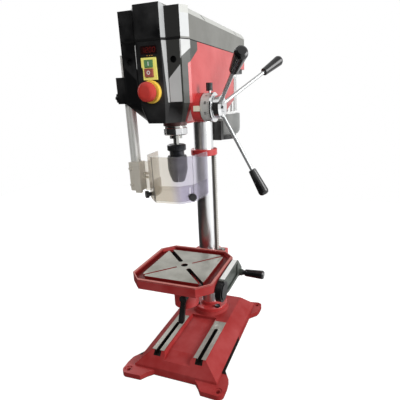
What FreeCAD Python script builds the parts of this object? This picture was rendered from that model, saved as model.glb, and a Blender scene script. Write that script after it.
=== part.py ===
# Benchtop drill press. Millimetres, +Z up, +X to the operator's right, +Y to the back.
# The origin is the middle of the four foot holes, on the underside of the base.
import FreeCAD
import Part
import math
import os

V = FreeCAD.Vector

# Clearances
run_gap = 0.05           # radial gap of a shaft in its bearing bore
slide_gap = 0.05         # radial gap of the quill in the head
free_gap = 0.3           # gap between pieces that only pass each other
tooth_gap = 0.25         # flank gap on each side of a tooth

# Base and column
throat = 190.0           # spindle axis to column axis
column_y = 103.0         # column axis behind the middle of the foot holes
bolt_dx = 280.0          # foot holes, side to side
bolt_dy = 440.0          # foot holes, front to back
foot_hole_d = 13.0
foot_r = 17.0            # rounded end of a foot
foot_t = 16.0
base_h = 58.0            # deck over the bench
base_side = 130.0        # half width at the bench
deck_side = 86.0         # half width of the deck
base_front = 204.0       # front edge ahead of the origin
base_back = 222.0        # rear edge behind the origin
ridge_h = 22.0           # height where the sides turn to slopes
slope_front = 33.0       # run of the front slope
slope_back = 35.0
side_lean = 1.0          # how much the side wall leans in up to the ridge
base_wall = 9.0
rail_x = 66.5            # slot centre line
rail_w = 38.0
rail_rise = 2.0          # ground rails stand over the deck
rail_len = 186.0
slot_w = 12.0
slot_len = 140.0
slot_head_w = 21.0
slot_head_h = 6.0
slot_neck_h = 7.0
valley_drop = 9.0        # floor between the rails, under the deck
valley_ramp = 41.0       # front length of the floor that runs down
valley_ramp_drop = 9.0

column_d = 60.0
column_wall = 4.0
boss_r = 66.0            # round boss of the base under the column flange
boss_h = 10.0
flange_r = 58.0
flange_t = 12.0
flange_hub_r = 35.0
flange_hub_h = 12.0
flange_pcd = 98.0
flange_bolt_d = 10.0
column_top = 862.0

rack_depth = 8.0
rack_w = 16.0
rack_module = 2.0
rack_tip = 1.4           # rack tooth beyond its pitch line
rack_root = 2.0          # and behind it
pinion_tip = 1.6
collar_r = 41.0
collar_h = 19.0
collar_z = 599.5         # underside of the ring that holds the top of the rack

# Table and its carrier
table_size = 240.0
table_corner = 36.0      # cut corners
table_top = 309.0        # ground face over the bench
table_rim_h = 28.0       # height of the outer wall
rim_rise = 3.0           # rim over the ground face
gutter_w = 22.0
gutter_drop = 8.0
rim_w = 7.0
plate_t = 12.0
table_bore_d = 20.0
table_slot_w = 13.0
slot_start = 32.0        # inner end of a slot, from the middle of the table
well_wall = 5.0
groove_w = 6.0
groove_drop = 2.0
stem_r = 24.0
carrier_hub_r = 46.0
carrier_hub_h = 82.0
carrier_boss_r = 36.0
carrier_boss_h = 84.0
carrier_drop = 14.0      # top of the carrier's boss under the table's wall
carrier_web = 44.0       # width of the arm
crank_z_drop = 33.0      # crank axis under the ground face
crank_front = 56.0       # crank axis ahead of the spindle axis
crank_shaft_r = 7.0
mitre_r = 13.0           # mitre wheels: radius and face width
mitre_w = 6.0
crank_hub_r = 28.0
crank_out = 123.0        # inner face of the crank, from the middle of the table
crank_gap = 1.0          # back face of the arm ahead of the hub disc's
crank_arm_t = 16.0
crank_rise = 47.0        # top of the arm's end over the crank axis
crank_radius = 146.7
crank_tilt = 5.5         # arm below level, degrees
crank_end_r = 20.0
crank_neck = 9.0
grip_len = 57.0
grip_r_in = 10.6
grip_r_out = 13.0
gear_teeth = 12
lever_len = 84.0
lever_w = 17.0
lever_t = 9.0

# Head and belt cover
seam_z = 889.0           # top of the head casting, where the cover closes
head_bottom = 704.0
shoulder_z = 760.0       # the sides are upright above this, and taper below it
head_half = 86.0
keel_half = 52.0         # half width at the bottom
keel_rib = 26.0          # half width of the rib inside, from the quill to the column
nose_y = 105.0           # front of the console, ahead of the spindle axis
tower_half = 31.0        # flat middle of the console
tower_step = 8.0         # the middle stands this far ahead of the flanks
flank_half = 74.0
corner_back = 19.0       # depth of the corner between the flank and the side
nose_bottom = 716.0
nose_low_half = 22.0
nose_low_y = 93.0
shelf_back = 375.0       # rear of the upper shelf, behind the spindle axis
shelf_z = 850.0
shelf_r = 22.0           # round rear corners of the shelf and the cover
tall_back = 236.0        # rear wall of the tall part, behind the spindle axis
tray_depth = 19.0        # pulley tray sunk into the top
tray_wall = 9.0
tray_front = 60.0        # tray edge ahead of the spindle axis
hinge_out = 6.0          # cover hinge axis outside the casting side
hinge_pin_r = 3.0
hinge_tube_r = 5.5
hinge_leaf_h = 16.0
hinge_places = [40.0, 230.0]   # fixed knuckles, behind the spindle axis
hinge_len = 30.0
lid_places = [71.0, 261.0]     # knuckles of the cover, beside the fixed ones
lid_len = 24.0

cover_h = 65.0           # flank height of the belt cover
cover_side_h = 50.0
cover_bevel = 11.0
cover_ridge = 8.0        # middle ridge over the flanks
cover_wall = 3.0
seam_gap = 0.6

# Quill, spindle and chuck
quill_r = 27.0
quill_len = 146.0
quill_tip = 0.95         # quill rack tooth beyond its pitch line
quill_root = 2.0
quill_ring_r = 30.4
quill_ring_h = 18.0
quill_bottom = 699.0
nut_r = 16.0             # spindle nose collar
nut_h = 9.0
spindle_r = 8.5
arbor_r = 7.4
arbor_len = 15.0
chuck_ring_r = 24.4
chuck_ring_h = 16.5
chuck_neck_r = 19.0
chuck_neck_h = 13.0
chuck_body_r = 25.7
chuck_body_h = 35.0
chuck_nose_r = 15.0
chuck_nose_h = 34.0
chuck_bore_r = 11.5      # opening of the nose
chuck_core_r = 21.0      # core that carries the jaws, inside the turning sleeve
jaw_r = 3.0
jaw_len = 37.0
jaw_lean = 14.0
jaw_shut = 3.7           # jaw axis off the chuck axis at the nose, shut
jaw_travel = 23.0

# Feed
feed_z = 747.6
feed_module = 2.0
feed_teeth = 14
pinion_w = 15.0
feed_boss_r = 33.0
feed_boss_in = 78.0      # where the boss grows out of the casting's side
quill_boss_r = 30.0
feed_boss_out = 99.0
feed_shaft_r = 9.0
feed_shaft_in = 45.0     # inner end of the feed shaft, left of the spindle axis
ring_r = 32.0
ring_w = 26.0
ring_rim = 1.2           # bright rim over the ring's scale
hub_sleeve_r = 13.0      # sleeve of the hub under the scale ring
hub_r = 26.0
hub_w = 20.0
spoke_r = 4.3
spoke_lean = 28.2
spoke_root_out = 13.5    # where a spoke leaves the hub, from the point all three meet in
spoke_start = 298.2      # turn of the first spoke from straight up, about +X
spoke_reach = 164.0      # start of the knob along the spoke
knob_len = 66.0
knob_r_in = 9.2
knob_r_out = 12.6

# Motor, pulleys and belts
motor_y = 320.0          # motor axis behind the spindle axis
motor_r = 62.0
motor_low = 716.0
bell_r = 76.0
bell_low = 649.0
cap_low = 636.0
cap_r = 70.0
motor_shaft_r = 9.0
plate_half = 78.0
motor_plate_t = 12.0
box_half = 46.0
box_front = 224.0
box_low = 640.0
box_top = 697.0
idler_y = 150.0
idler_r = 8.0            # stud of the middle pulley
step_h = 15.0
steps = 4
pulley_radii = [33.0, 28.0, 23.0, 18.0]
groove = 6.5
belt_lift = 0.4          # belt over the floor of its groove
belt_in_w = 6.0
pulley_floor = 876.0
belt_w = 9.5
belt_h = 7.0

# Controls
plate_w = 37.0
plate_h = 46.0
plate_t_sw = 4.0
plate_mid_z = 833.5
button_w = 20.0
start_h = 15.0
stop_h = 17.0
button_out = 4.5
button_press = 2.5
estop_z = 785.6
estop_base_r = 24.5
estop_base_t = 7.0
estop_head_r = 21.5
estop_stem_r = 11.0
estop_out = 32.0
estop_press = 4.0
window_w = 40.0
window_h = 17.0
window_z = 872.0
window_t = 2.0

# Chuck guard
post_x = 100.0            # post axis, left of the spindle axis
post_front = 42.0        # post axis, ahead of the spindle axis
post_w = 20.0
post_top = 872.0
post_bottom = 541.0
guard_box_out = 119.0
guard_box_low = 761.0
guard_box_high = 822.0
guard_box_d = 46.0
sleeve_r = 15.0
guard_box_wall = 3.0
post_round = 2.5
screw_slot = 20.0        # travel of the lower guard
clamp_h = 77.0
clamp_half = 19.0
clamp_left = 12.5        # outer side of the clamp from the post axis
shell_t = 2.5
shell_top = 634.0
shell_low = 522.0        # lower edge of the fixed shell
slider_top = 561.0
screw_z = 533.0
screw_share = 0.75       # place of a screw along the corner facet, from the front
flange_out = 12.0        # width of the shell's flange
flange_t_guard = 3.0
lug_z = 580.0
shell_bottom = 516.0
shell_front = 75.0
shell_front_half = 36.0
shell_side_half = 64.0
shell_side_front = 45.0
shell_back_half = 74.0
shell_back = 28.0
guard_screw_r = 9.5

# Worked out from the sizes
column_r = column_d / 2
sy = column_y - throat                  # spindle axis
feed_y = sy - (quill_r - 1 + feed_module * feed_teeth / 2)
table_half = table_size / 2
table_low = table_top + rim_rise - table_rim_h
crank_z = table_top - crank_z_drop
crank_y = sy - crank_front
flange_z = base_h + boss_h
hub_top = flange_z + flange_t + flange_hub_h
drive_x = column_r + rack_depth - rack_tip + rack_module * gear_teeth / 2
chuck_top = quill_bottom - quill_ring_h - nut_h - arbor_len
chuck_low = chuck_top - chuck_ring_h - chuck_neck_h - chuck_body_h - chuck_nose_h
cover_top = seam_z + cover_h


# Shape helpers
def box(x0, x1, y0, y1, z0, z1):
    return Part.makeBox(x1 - x0, y1 - y0, z1 - z0, V(x0, y0, z0))


def rod(r, a, b):
    a, b = V(*a), V(*b)
    return Part.makeCylinder(r, (b - a).Length, a, b - a)


def cone(r0, r1, a, b):
    a, b = V(*a), V(*b)
    return Part.makeCone(r0, r1, (b - a).Length, a, b - a)


def wire(points):
    return Part.makePolygon([V(*p) for p in points] + [V(*points[0])])


def prism(points, z0, z1):
    face = Part.Face(wire([(x, y, z0) for x, y in points]))
    return face.extrude(V(0, 0, z1 - z0))


def side_prism(points, x0, x1):
    # points are (y, z), run from x0 to x1
    face = Part.Face(wire([(x0, y, z) for y, z in points]))
    return face.extrude(V(x1 - x0, 0, 0))


def front_prism(points, y0, y1):
    # points are (x, z), run from y0 to y1
    face = Part.Face(wire([(x, y0, z) for x, z in points]))
    return face.extrude(V(0, y1 - y0, 0))


def loft(sections):
    return Part.makeLoft([wire(s) for s in sections], True, True)


def fuse(parts):
    out = parts[0]
    if len(parts) > 1:
        out = out.multiFuse(parts[1:])
    return out.removeSplitter()


def group(parts):
    return Part.makeCompound(parts)


def turned(shape, angle, at, axis):
    out = shape.copy()
    out.rotate(V(*at), V(*axis), angle)
    return out


def lathe(profile, at, axis=(0, 0, 1)):
    # profile is a list of (radius, height), closed and turned about the local Z
    face = Part.Face(wire([(r, 0, h) for r, h in profile]))
    solid = face.revolve(V(0, 0, 0), V(0, 0, 1), 360)
    if isinstance(solid, Part.Shell):
        solid = Part.Solid(solid)
    place = FreeCAD.Placement(V(*at), FreeCAD.Rotation(V(0, 0, 1), V(*axis)))
    solid.Placement = place
    return solid


def round_upright(shape, r, test):
    picked = []
    for e in shape.Edges:
        a, b = e.Vertexes[0].Point, e.Vertexes[-1].Point
        if abs(a.x - b.x) < 1e-6 and abs(a.y - b.y) < 1e-6 and test(a):
            picked.append(e)
    return shape.makeFillet(r, picked) if picked else shape


def hex_bolt(d, x, y, z, shank):
    # head up, seat at z
    head_r = 0.92 * d
    points = [(head_r * math.cos(math.radians(60 * i)), head_r * math.sin(math.radians(60 * i)))
              for i in range(6)]
    head = prism([(x + px, y + py) for px, py in points], z, z + 0.64 * d)
    return fuse([head, rod(d / 2, (x, y, z - shank), (x, y, z))])


# Base
def base_envelope(inset):
    w0, w1, w2 = base_side - inset, base_side - side_lean - inset, deck_side - inset
    f0, f1 = -base_front + inset, -base_front + 4 + inset
    f2 = -base_front + 4 + slope_front + inset
    b0, b1, b2 = base_back - inset, base_back - 4 - inset, base_back - slope_back - inset

    def ring(w, f, b, z):
        return [(-w, f, z), (w, f, z), (w, b, z), (-w, b, z)]
    top = base_h - inset
    low = loft([ring(w0, f0, b0, 0), ring(w1, f1, b1, ridge_h)])
    high = loft([ring(w1, f1, b1, ridge_h), ring(w2, f2, b2, top)])
    return fuse([low, high])


def foot(sx, s):
    # sx is -1 or 1 for the side, s is -1 for the front and 1 for the back
    x, y = bolt_dx / 2, bolt_dy / 2
    edge = base_front if s < 0 else base_back
    if s < 0:
        points = [(x - 75, edge - 1), (x - 60, y - 2), (x - 47, y + foot_r - 2), (x, y + foot_r),
                  (x + foot_r, y), (x + foot_r, y - 27), (x + 14, y - 49), (x - 1, y - 72),
                  (x - 12, y - 92), (x - 75, y - 92)]
    else:
        points = [(x - 40, edge - 2), (x - 24, y + foot_r - 3), (x, y + foot_r), (x + foot_r, y),
                  (x + foot_r - 1, y - 30), (x + 12, y - 48), (x - 11, y - 74), (x - 40, y - 74)]
    pad = prism([(sx * px, s * py) for px, py in points], 0, foot_t)
    return fuse([pad, rod(foot_r, (sx * x, s * y, 0), (sx * x, s * y, foot_t))])


def make_base():
    body = base_envelope(0)
    feet = [foot(sx, s) for sx in (-1, 1) for s in (-1, 1)]
    rails = []
    front = -base_front + slope_front + 4
    for sx in (-1, 1):
        x0 = sx * rail_x - rail_w / 2
        rails.append(box(x0, x0 + rail_w, front, front + rail_len, base_h - 6, base_h + rail_rise))
    boss = cone(boss_r, boss_r - 6, (0, column_y, base_h - 8), (0, column_y, flange_z))
    solid = fuse([body] + feet + rails + [boss])
    hollow = base_envelope(base_wall)
    drop = base_h - valley_drop - base_wall + 1
    hollow = hollow.common(box(-200, 200, -300, 300, -1, drop))
    keep = [rod(flange_hub_r, (0, column_y, -2), (0, column_y, base_h))]
    for sx in (-1, 1):
        x0 = sx * rail_x - rail_w / 2
        y1 = front + slot_len + 16
        keep.append(box(x0, x0 + rail_w, -base_front, y1, base_h - 30, base_h))
    for rib_y in (-70.0, 60.0):
        keep.append(box(-200, 200, rib_y - 4, rib_y + 4, 12, base_h))
    for k in keep:
        hollow = hollow.cut(k)
    solid = solid.cut(hollow)
    # valley between the rails, open to the front slope
    inner = rail_x - rail_w / 2
    valley = front_prism([(-inner + 1, base_h + 5), (inner - 1, base_h + 5),
                          (inner - 1 - valley_drop * 0.6, base_h - valley_drop),
                          (-inner + 1 + valley_drop * 0.6, base_h - valley_drop)],
                         -base_front, column_y - boss_r)
    solid = solid.cut(valley)
    floor = inner - 1 - valley_drop * 0.6
    y1 = front + valley_ramp - 16
    y0 = y1 - valley_ramp
    z1 = base_h - valley_drop
    slope = valley_ramp_drop / valley_ramp
    ramp = [(y1, z1), (y0 - 30, z1 - valley_ramp_drop - 30 * slope), (y0 - 30, z1 + 5), (y1, z1 + 5)]
    solid = solid.cut(side_prism(ramp, -floor, floor))
    cuts = []
    top = base_h + rail_rise
    for sx in (-1, 1):
        x = sx * rail_x
        y1 = front + slot_len
        cuts.append(box(x - slot_w / 2, x + slot_w / 2, -base_front - 5, y1, top - slot_neck_h - 1, top + 1))
        cuts.append(rod(slot_w / 2, (x, y1, top - slot_neck_h - 1), (x, y1, top + 1)))
        cuts.append(box(x - slot_head_w / 2, x + slot_head_w / 2, -base_front - 5, y1 + slot_w / 2,
                        top - slot_neck_h - slot_head_h, top - slot_neck_h))
    for sx in (-1, 1):
        for s in (-1, 1):
            x, y = sx * bolt_dx / 2, s * bolt_dy / 2
            cuts.append(rod(foot_hole_d / 2, (x, y, -1), (x, y, foot_t + 1)))
            cuts.append(rod(foot_hole_d * 0.9, (x, y, foot_t - 2), (x, y, foot_t + base_h)))
    for x, y in flange_bolt_places():
        cuts.append(rod(flange_bolt_d / 2, (x, y, base_h - 22), (x, y, flange_z + 1)))
    cuts.append(rod(column_r, (0, column_y, base_h - 6), (0, column_y, flange_z + 1)))
    for c in cuts:
        solid = solid.cut(c)
    return solid


def flange_bolt_places():
    r = flange_pcd / 2
    angles = (40, 140, 220, 320)
    return [(r * math.cos(math.radians(a)), column_y + r * math.sin(math.radians(a))) for a in angles]


def make_flange():
    profile = [(column_r, 0), (flange_r, 0), (flange_r, flange_t - 2), (flange_r - 2, flange_t),
               (flange_hub_r + 2, flange_t), (flange_hub_r, flange_t + 2),
               (flange_hub_r, flange_t + flange_hub_h - 2),
               (flange_hub_r - 2, flange_t + flange_hub_h), (column_r, flange_t + flange_hub_h)]
    solid = lathe(profile, (0, column_y, flange_z))
    for x, y in flange_bolt_places():
        solid = solid.cut(rod(flange_bolt_d / 2, (x, y, flange_z - 1), (x, y, flange_z + flange_t + 1)))
    return solid


def flange_bolts():
    seat = flange_z + flange_t
    return [hex_bolt(flange_bolt_d, x, y, seat, seat - base_h + 20) for x, y in flange_bolt_places()]


def make_column():
    outer = rod(column_r, (0, column_y, base_h - 6), (0, column_y, column_top))
    return outer.cut(rod(column_r - column_wall, (0, column_y, 0), (0, column_y, column_top + 1)))


# Rack and its ring
def rack_points(z_mid, module, tip, root):
    # flank points of one rack tooth, centred at z_mid: (distance from the pitch line, z)
    half = math.pi * module / 4 - tooth_gap / 2
    lean = math.tan(math.radians(20))
    return [(-root, z_mid - half - root * lean), (tip, z_mid - half + tip * lean),
            (tip, z_mid + half - tip * lean), (-root, z_mid + half + root * lean)]


def gear(module, teeth, width, at, axis, phase=0.0):
    # spur gear with involute flanks; a tooth gap is centred on the angle phase
    pr = module * teeth / 2
    tip, root, base = pr + pinion_tip, pr - 1.2 * module, pr * math.cos(math.radians(20))

    def inv(a):
        return math.tan(a) - a

    def half_angle(r):
        a = math.acos(min(1.0, base / r))
        return math.pi / (2 * teeth) - tooth_gap / 2 / pr + inv(math.radians(20)) - inv(a)
    radii = [root, base, (base + pr) / 2, pr, (pr + tip) / 2, tip]
    flank = [(r, half_angle(max(r, base))) for r in radii]
    points = []
    for i in range(teeth):
        a = 2 * math.pi * (i + 0.5) / teeth + phase
        points += [(r * math.cos(a - h), r * math.sin(a - h)) for r, h in flank]
        points += [(r * math.cos(a + h), r * math.sin(a + h)) for r, h in flank[::-1]]
    face = Part.Face(wire([(x, y, -width / 2) for x, y in points]))
    solid = face.extrude(V(0, 0, width))
    solid.Placement = FreeCAD.Placement(V(*at), FreeCAD.Rotation(V(0, 0, 1), V(*axis)))
    return solid


def rack_low():
    return hub_top + free_gap


def rack_top():
    return collar_z + collar_h / 2


def make_rack():
    low, top = rack_low(), rack_top()
    pitch = math.pi * rack_module
    line = column_r + rack_depth - rack_tip
    points = [(column_r - 2, low), (line - rack_root, low)]
    for i in range(1, int((top - low) / pitch)):
        tooth = rack_points(low + pitch * i, rack_module, rack_tip, rack_root)
        points += [(line + d, z) for d, z in tooth]
    points += [(line - rack_root, top), (column_r - 2, top)]
    rack = front_prism(points, column_y - rack_w / 2, column_y + rack_w / 2)
    return rack.cut(rod(column_r + free_gap, (0, column_y, 0), (0, column_y, column_top)))


def rack_corner():
    return math.hypot(column_r + rack_depth, rack_w / 2)


def make_collar():
    z0, z1 = collar_z, collar_z + collar_h
    ring = lathe([(column_r, 0), (collar_r - 1.5, 0), (collar_r, 1.5), (collar_r, collar_h - 1.5),
                  (collar_r - 1.5, collar_h), (column_r, collar_h)], (0, column_y, z0))
    groove = lathe([(column_r - 1, -1), (rack_corner() + free_gap, -1),
                    (rack_corner() + free_gap, collar_h / 2 + free_gap),
                    (column_r - 1, collar_h / 2 + free_gap)], (0, column_y, z0))
    ring = ring.cut(groove)
    a = math.radians(-120)
    ring = ring.cut(rod(3, (0, column_y, z1 - 6), (60 * math.cos(a), column_y + 60 * math.sin(a), z1 - 6)))
    return ring


def collar_screw():
    a = math.radians(-120)
    z = collar_z + collar_h - 6

    def at(r):
        return (r * math.cos(a), column_y + r * math.sin(a), z)
    return rod(3, at(column_r), at(collar_r - 1))


# Table
def octagon(half, corner):
    c = half - corner
    return [(-c, -half), (c, -half), (half, -c), (half, c), (c, half), (-c, half), (-half, c), (-half, -c)]


def moved(points, dx, dy):
    return [(x + dx, y + dy) for x, y in points]


def make_table():
    outer = prism(moved(octagon(table_half, table_corner), 0, sy), table_low, table_top + rim_rise)
    gut = table_half - rim_w
    face = gut - gutter_w
    k = table_corner * 0.72
    pocket = prism(moved(octagon(gut, k), 0, sy), table_top, table_top + rim_rise + 1)
    trough = prism(moved(octagon(gut, k), 0, sy), table_top - gutter_drop, table_top + 1)
    plateau = prism(moved(octagon(face, k * 0.5), 0, sy), table_top - gutter_drop - 1, table_top + 2)
    solid = outer.cut(pocket).cut(trough.cut(plateau))
    under = prism(moved(octagon(table_half - 7, table_corner - 3), 0, sy), table_low - 1, table_top - plate_t)
    for a in (0, 90):
        rib = turned(box(-200, 200, sy - 7, sy + 7, crank_z + 15, table_top), a, (0, sy, 0), (0, 0, 1))
        under = under.cut(rib)
    solid = solid.cut(under)
    stem = rod(stem_r, (0, sy, table_low - carrier_drop - 60), (0, sy, table_top - plate_t + 1))
    skirt = rod(stem_r + 6, (0, sy, table_low - carrier_drop), (0, sy, table_top - plate_t + 1))
    solid = fuse([solid, stem, skirt])
    # two through slots, one with a walled well, and two shallow grooves, on the diagonals
    corner = (2 * face - k * 0.5) / math.sqrt(2)

    def lane(a, r0, r1, w, z0, z1):
        bar = box(r0, r1, sy - w / 2, sy + w / 2, z0, z1)
        end = rod(w / 2, (r0, sy, z0), (r0, sy, z1))
        return turned(fuse([bar, end]), a, (0, sy, 0), (0, 0, 1))
    well = lane(135, slot_start, corner + 6, table_slot_w + 2 * well_wall, table_low, table_top - plate_t + 1)
    solid = fuse([solid, well])
    for a in (135, 315):
        solid = solid.cut(lane(a, slot_start, corner + 1, table_slot_w, table_low - 1, table_top + 5))
    for a in (45, 225):
        solid = solid.cut(lane(a, 26, corner + 5, groove_w, table_top - groove_drop, table_top + 5))
    solid = solid.cut(rod(table_bore_d / 2, (0, sy, table_low - carrier_drop - 80), (0, sy, table_top + 5)))
    return solid


def make_carrier():
    top = table_low - carrier_drop
    low = top - carrier_boss_h
    hub_low = top - carrier_hub_h + 8
    half = carrier_web / 2
    hub = rod(carrier_hub_r, (0, column_y, hub_low), (0, column_y, top + 8))
    boss = rod(carrier_boss_r, (0, sy, low), (0, sy, top))
    profile = [(sy, low + 26), (sy, top), (sy + stem_r + 16, top), (column_y, top + 6),
               (column_y, hub_low + 4)]
    web = side_prism(profile, -half, half)
    rack_box = box(10, drive_x + 15, column_y - 19, column_y + 19, crank_z - 20, crank_z + 7)
    case_x = drive_x + mitre_r + 9
    case = box(drive_x - 15, case_x, crank_y - 16, crank_y + mitre_r + 9, crank_z - 17, crank_z + 17)
    strut = box(0, drive_x, crank_y - 8, crank_y + 12, crank_z - 17, top)
    ears = []
    for s in (-1, 1):
        ears.append(box(s * 9 - 6, s * 9 + 6, column_y + carrier_hub_r - 8, column_y + carrier_hub_r + 20,
                        hub_low + 18, hub_low + 54))
    solid = fuse([hub, boss, web, rack_box, case, strut] + ears)
    cuts = [rod(stem_r + slide_gap, (0, sy, top - 62), (0, sy, top + 1)),
            rod(table_bore_d / 2 + 2, (0, sy, low - 1), (0, sy, top + 1)),
            rod(column_r + slide_gap, (0, column_y, low - 60), (0, column_y, top + 60)),
            box(-3, 3, column_y, column_y + 90, low - 60, top + 60)]
    # way of the rack, room of the pinion and of the mitre pair, bearings of both shafts
    cuts.append(box(column_r - 8, column_r + rack_depth + 0.6, column_y - rack_w / 2 - 0.4,
                    column_y + rack_w / 2 + 0.4, low - 60, top + 60))
    g = rack_module * gear_teeth / 2 + pinion_tip + 0.8
    reach = rack_w / 2 + 0.6
    cuts.append(rod(g, (drive_x, column_y - reach, crank_z), (drive_x, column_y + reach, crank_z)))
    cuts.append(rod(crank_shaft_r + run_gap, (drive_x, crank_y, crank_z), (drive_x, column_y + 15.3, crank_z)))
    cuts.append(rod(crank_shaft_r + run_gap, (drive_x, crank_y, crank_z), (case_x + 5, crank_y, crank_z)))
    inner = mitre_r + 0.8
    cuts.append(box(drive_x - inner, drive_x + inner, crank_y - inner, crank_y + inner,
                    crank_z - inner, crank_z + inner))
    rear = column_y + carrier_hub_r + 9
    cuts.append(rod(5 + run_gap, (-60, rear, hub_low + 36), (60, rear, hub_low + 36)))
    cuts.append(rod(6 + run_gap, (lock_x(), sy - 60, lock_z()), (lock_x(), sy - stem_r + 3, lock_z())))
    for c in cuts:
        solid = solid.cut(c)
    return solid


def lock_x():
    return carrier_boss_r * 0.38


def lock_z():
    return table_low - carrier_drop - carrier_boss_h + 42


def make_lock_lever():
    # lever of the table lock: hub on the screw, flat handle that hangs down
    x, z = lock_x(), lock_z()
    y0 = sy - carrier_boss_r - 3
    hub = rod(11, (x, y0 - 15, z), (x, y0, z))
    screw = rod(6, (x, y0 - 1, z), (x, sy - math.sqrt((stem_r + 1) ** 2 - (x - 6) ** 2), z))
    bar = front_prism([(x - 6.5, z), (x + 6.5, z), (x + lever_w / 2, z - lever_len + 8),
                       (x - lever_w / 2, z - lever_len + 8)], y0 - 13, y0 - 13 + lever_t)
    tip = rod(lever_w / 2, (x, y0 - 13, z - lever_len + 8), (x, y0 - 13 + lever_t, z - lever_len + 8))
    lever = turned(fuse([bar, tip]), 9, (x, y0, z), (0, 1, 0))
    return fuse([hub, lever, screw])


def make_clamp_lever():
    # lever of the column clamp, at the back of the carrier
    top = table_low - carrier_drop
    z = top - carrier_hub_h + 8 + 36
    y = column_y + carrier_hub_r + 9
    bolt = rod(5, (-24, y, z), (24, y, z))
    head = rod(9, (15.3, y, z), (24, y, z))
    hub = rod(10, (-27, y, z), (-15.3, y, z))
    arm = rod(5, (-21, y, z), (-21, y + 20, z - 62))
    ball = Part.makeSphere(10, V(-21, y + 22, z - 68))
    return fuse([bolt, head, hub, arm, ball])


def mitre(at, axis, phase):
    # one wheel of the mitre pair, its face toward the crossing of the shafts
    r0, r1 = mitre_r - free_gap, mitre_r - free_gap - mitre_w
    body = cone(r0, r1, (0, 0, 0), (0, 0, mitre_w))
    n = 14
    for i in range(n):
        gap = Part.makeBox(mitre_w * 2, 1.8, 2.2, V(-mitre_w, -0.9, -0.6))
        gap.rotate(V(0, 0, 0), V(0, 1, 0), 45)
        gap.translate(V((r0 + r1) / 2, 0, mitre_w / 2))
        body = body.cut(turned(gap, 360.0 / n * (i + phase), (0, 0, 0), (0, 0, 1)))
    body.Placement = FreeCAD.Placement(V(*at), FreeCAD.Rotation(V(0, 0, 1), V(*axis)))
    return body


def make_drive_shaft():
    # runs back to the rack and carries the pinion
    pitch = math.pi * rack_module
    near = rack_low() + pitch * round((crank_z - rack_low()) / pitch)
    turn = math.pi + (near - crank_z) / (rack_module * gear_teeth / 2)
    pinion = gear(rack_module, gear_teeth, rack_w, (drive_x, column_y, crank_z), (0, 1, 0), turn)
    shaft = rod(crank_shaft_r, (drive_x, crank_y + mitre_r, crank_z), (drive_x, column_y + 15, crank_z))
    return fuse([pinion, shaft, mitre((drive_x, crank_y + mitre_r, crank_z), (0, -1, 0), 0.5)])


def make_crank():
    x0 = crank_out
    end_y = crank_y + crank_radius
    shaft = rod(crank_shaft_r, (drive_x + mitre_r, crank_y, crank_z), (x0 + 2, crank_y, crank_z))
    x1 = x0 + crank_gap
    x2 = x1 + crank_arm_t
    tip = crank_radius + crank_end_r

    def web(points, a, b):
        return side_prism([(crank_y + along, crank_z + up) for along, up in points], a, b)
    outline = [(-3, -12), (40, -17), (127, -8), (tip - 12, -12), (tip - 2, -6), (tip, 2), (tip - 3, 12),
               (tip - 39, crank_rise - 3), (tip - 45, crank_rise), (10, crank_rise - 14), (-3, crank_rise - 16)]
    bar = web(outline, x1, x2)
    pocket = web([(28, -9), (tip - 46, 1), (tip - 46, crank_rise - 9), (28, crank_rise - 21)], x2 - 4, x2 + 1)
    disc = rod(crank_hub_r, (x0, crank_y, crank_z), (x2 - 1.5, crank_y, crank_z))
    hub = rod(crank_hub_r - 6, (x0, crank_y, crank_z), (x2 + 1.5, crank_y, crank_z))
    boss = rod(10, (x2 - 1, end_y, crank_z), (x2 + 8, end_y, crank_z))
    pin = rod(5, (x2 - 1, end_y, crank_z), (grip_x() + grip_len - 3, end_y, crank_z))
    level = fuse([bar.cut(pocket), disc, hub, boss, pin])
    arm = turned(level, -crank_tilt, (x0, crank_y, crank_z), (1, 0, 0))
    return fuse([shaft, arm, mitre((drive_x + mitre_r, crank_y, crank_z), (-1, 0, 0), 0.0)])


def grip_x():
    return crank_out + crank_gap + crank_arm_t + 8 + crank_neck


def grip_place():
    a = math.radians(crank_tilt)
    return (grip_x(), crank_y + crank_radius * math.cos(a), crank_z - crank_radius * math.sin(a))


def make_grip():
    bore = 5 + free_gap
    low = -crank_neck + free_gap
    profile = [(bore, low), (8.5, low), (7.2, -crank_neck + 5), (7.2, -1), (grip_r_in - 1, 0), (grip_r_in, 2),
               (grip_r_out, grip_len - 4), (grip_r_out - 3, grip_len), (0, grip_len),
               (0, grip_len - 2.6), (bore, grip_len - 2.6)]
    return lathe(profile, grip_place(), (1, 0, 0))


# Head casting and console
def console_plan(depth_back):
    flank, side = -nose_y + tower_step, -nose_y + 8 + corner_back
    right = [(tower_half, -nose_y), (tower_half + tower_step, flank), (flank_half, flank), (head_half, side),
             (head_half, depth_back)]
    return [(-x, y) for x, y in right[::-1]] + right


def low_plan(depth_back):
    right = [(nose_low_half, -nose_low_y), (nose_low_half + 2, -nose_low_y + 3), (keel_half - 2, -44),
             (keel_half, -40), (keel_half, depth_back)]
    return [(-x, y) for x, y in right[::-1]] + right


def at_level(points, z):
    return [(x, sy + y, z) for x, y in points]


def head_envelope():
    upper = prism(moved(console_plan(tall_back), 0, sy), shoulder_z, seam_z)
    lower = loft([at_level(console_plan(tall_back), shoulder_z), at_level(low_plan(tall_back), nose_bottom)])
    return fuse([upper, lower])


def console_zone():
    # the console takes the front of the head: far back at the top, less below
    y = sy
    return side_prism([(y - 130, nose_bottom - 30), (y - 130, seam_z + 5), (y - 36, seam_z + 5),
                       (y - 36, seam_z - 17), (y - 84, shoulder_z + 82), (y - 84, shoulder_z),
                       (y - 44, nose_bottom), (y - 44, nose_bottom - 30)], -200, 200)


def feed_boss(grow):
    return rod(feed_boss_r + grow, (feed_boss_in, feed_y, feed_z), (feed_boss_out, feed_y, feed_z))


def quill_boss(grow):
    return rod(quill_boss_r + grow, (0, sy, head_bottom), (0, sy, nose_bottom + 10))


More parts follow.
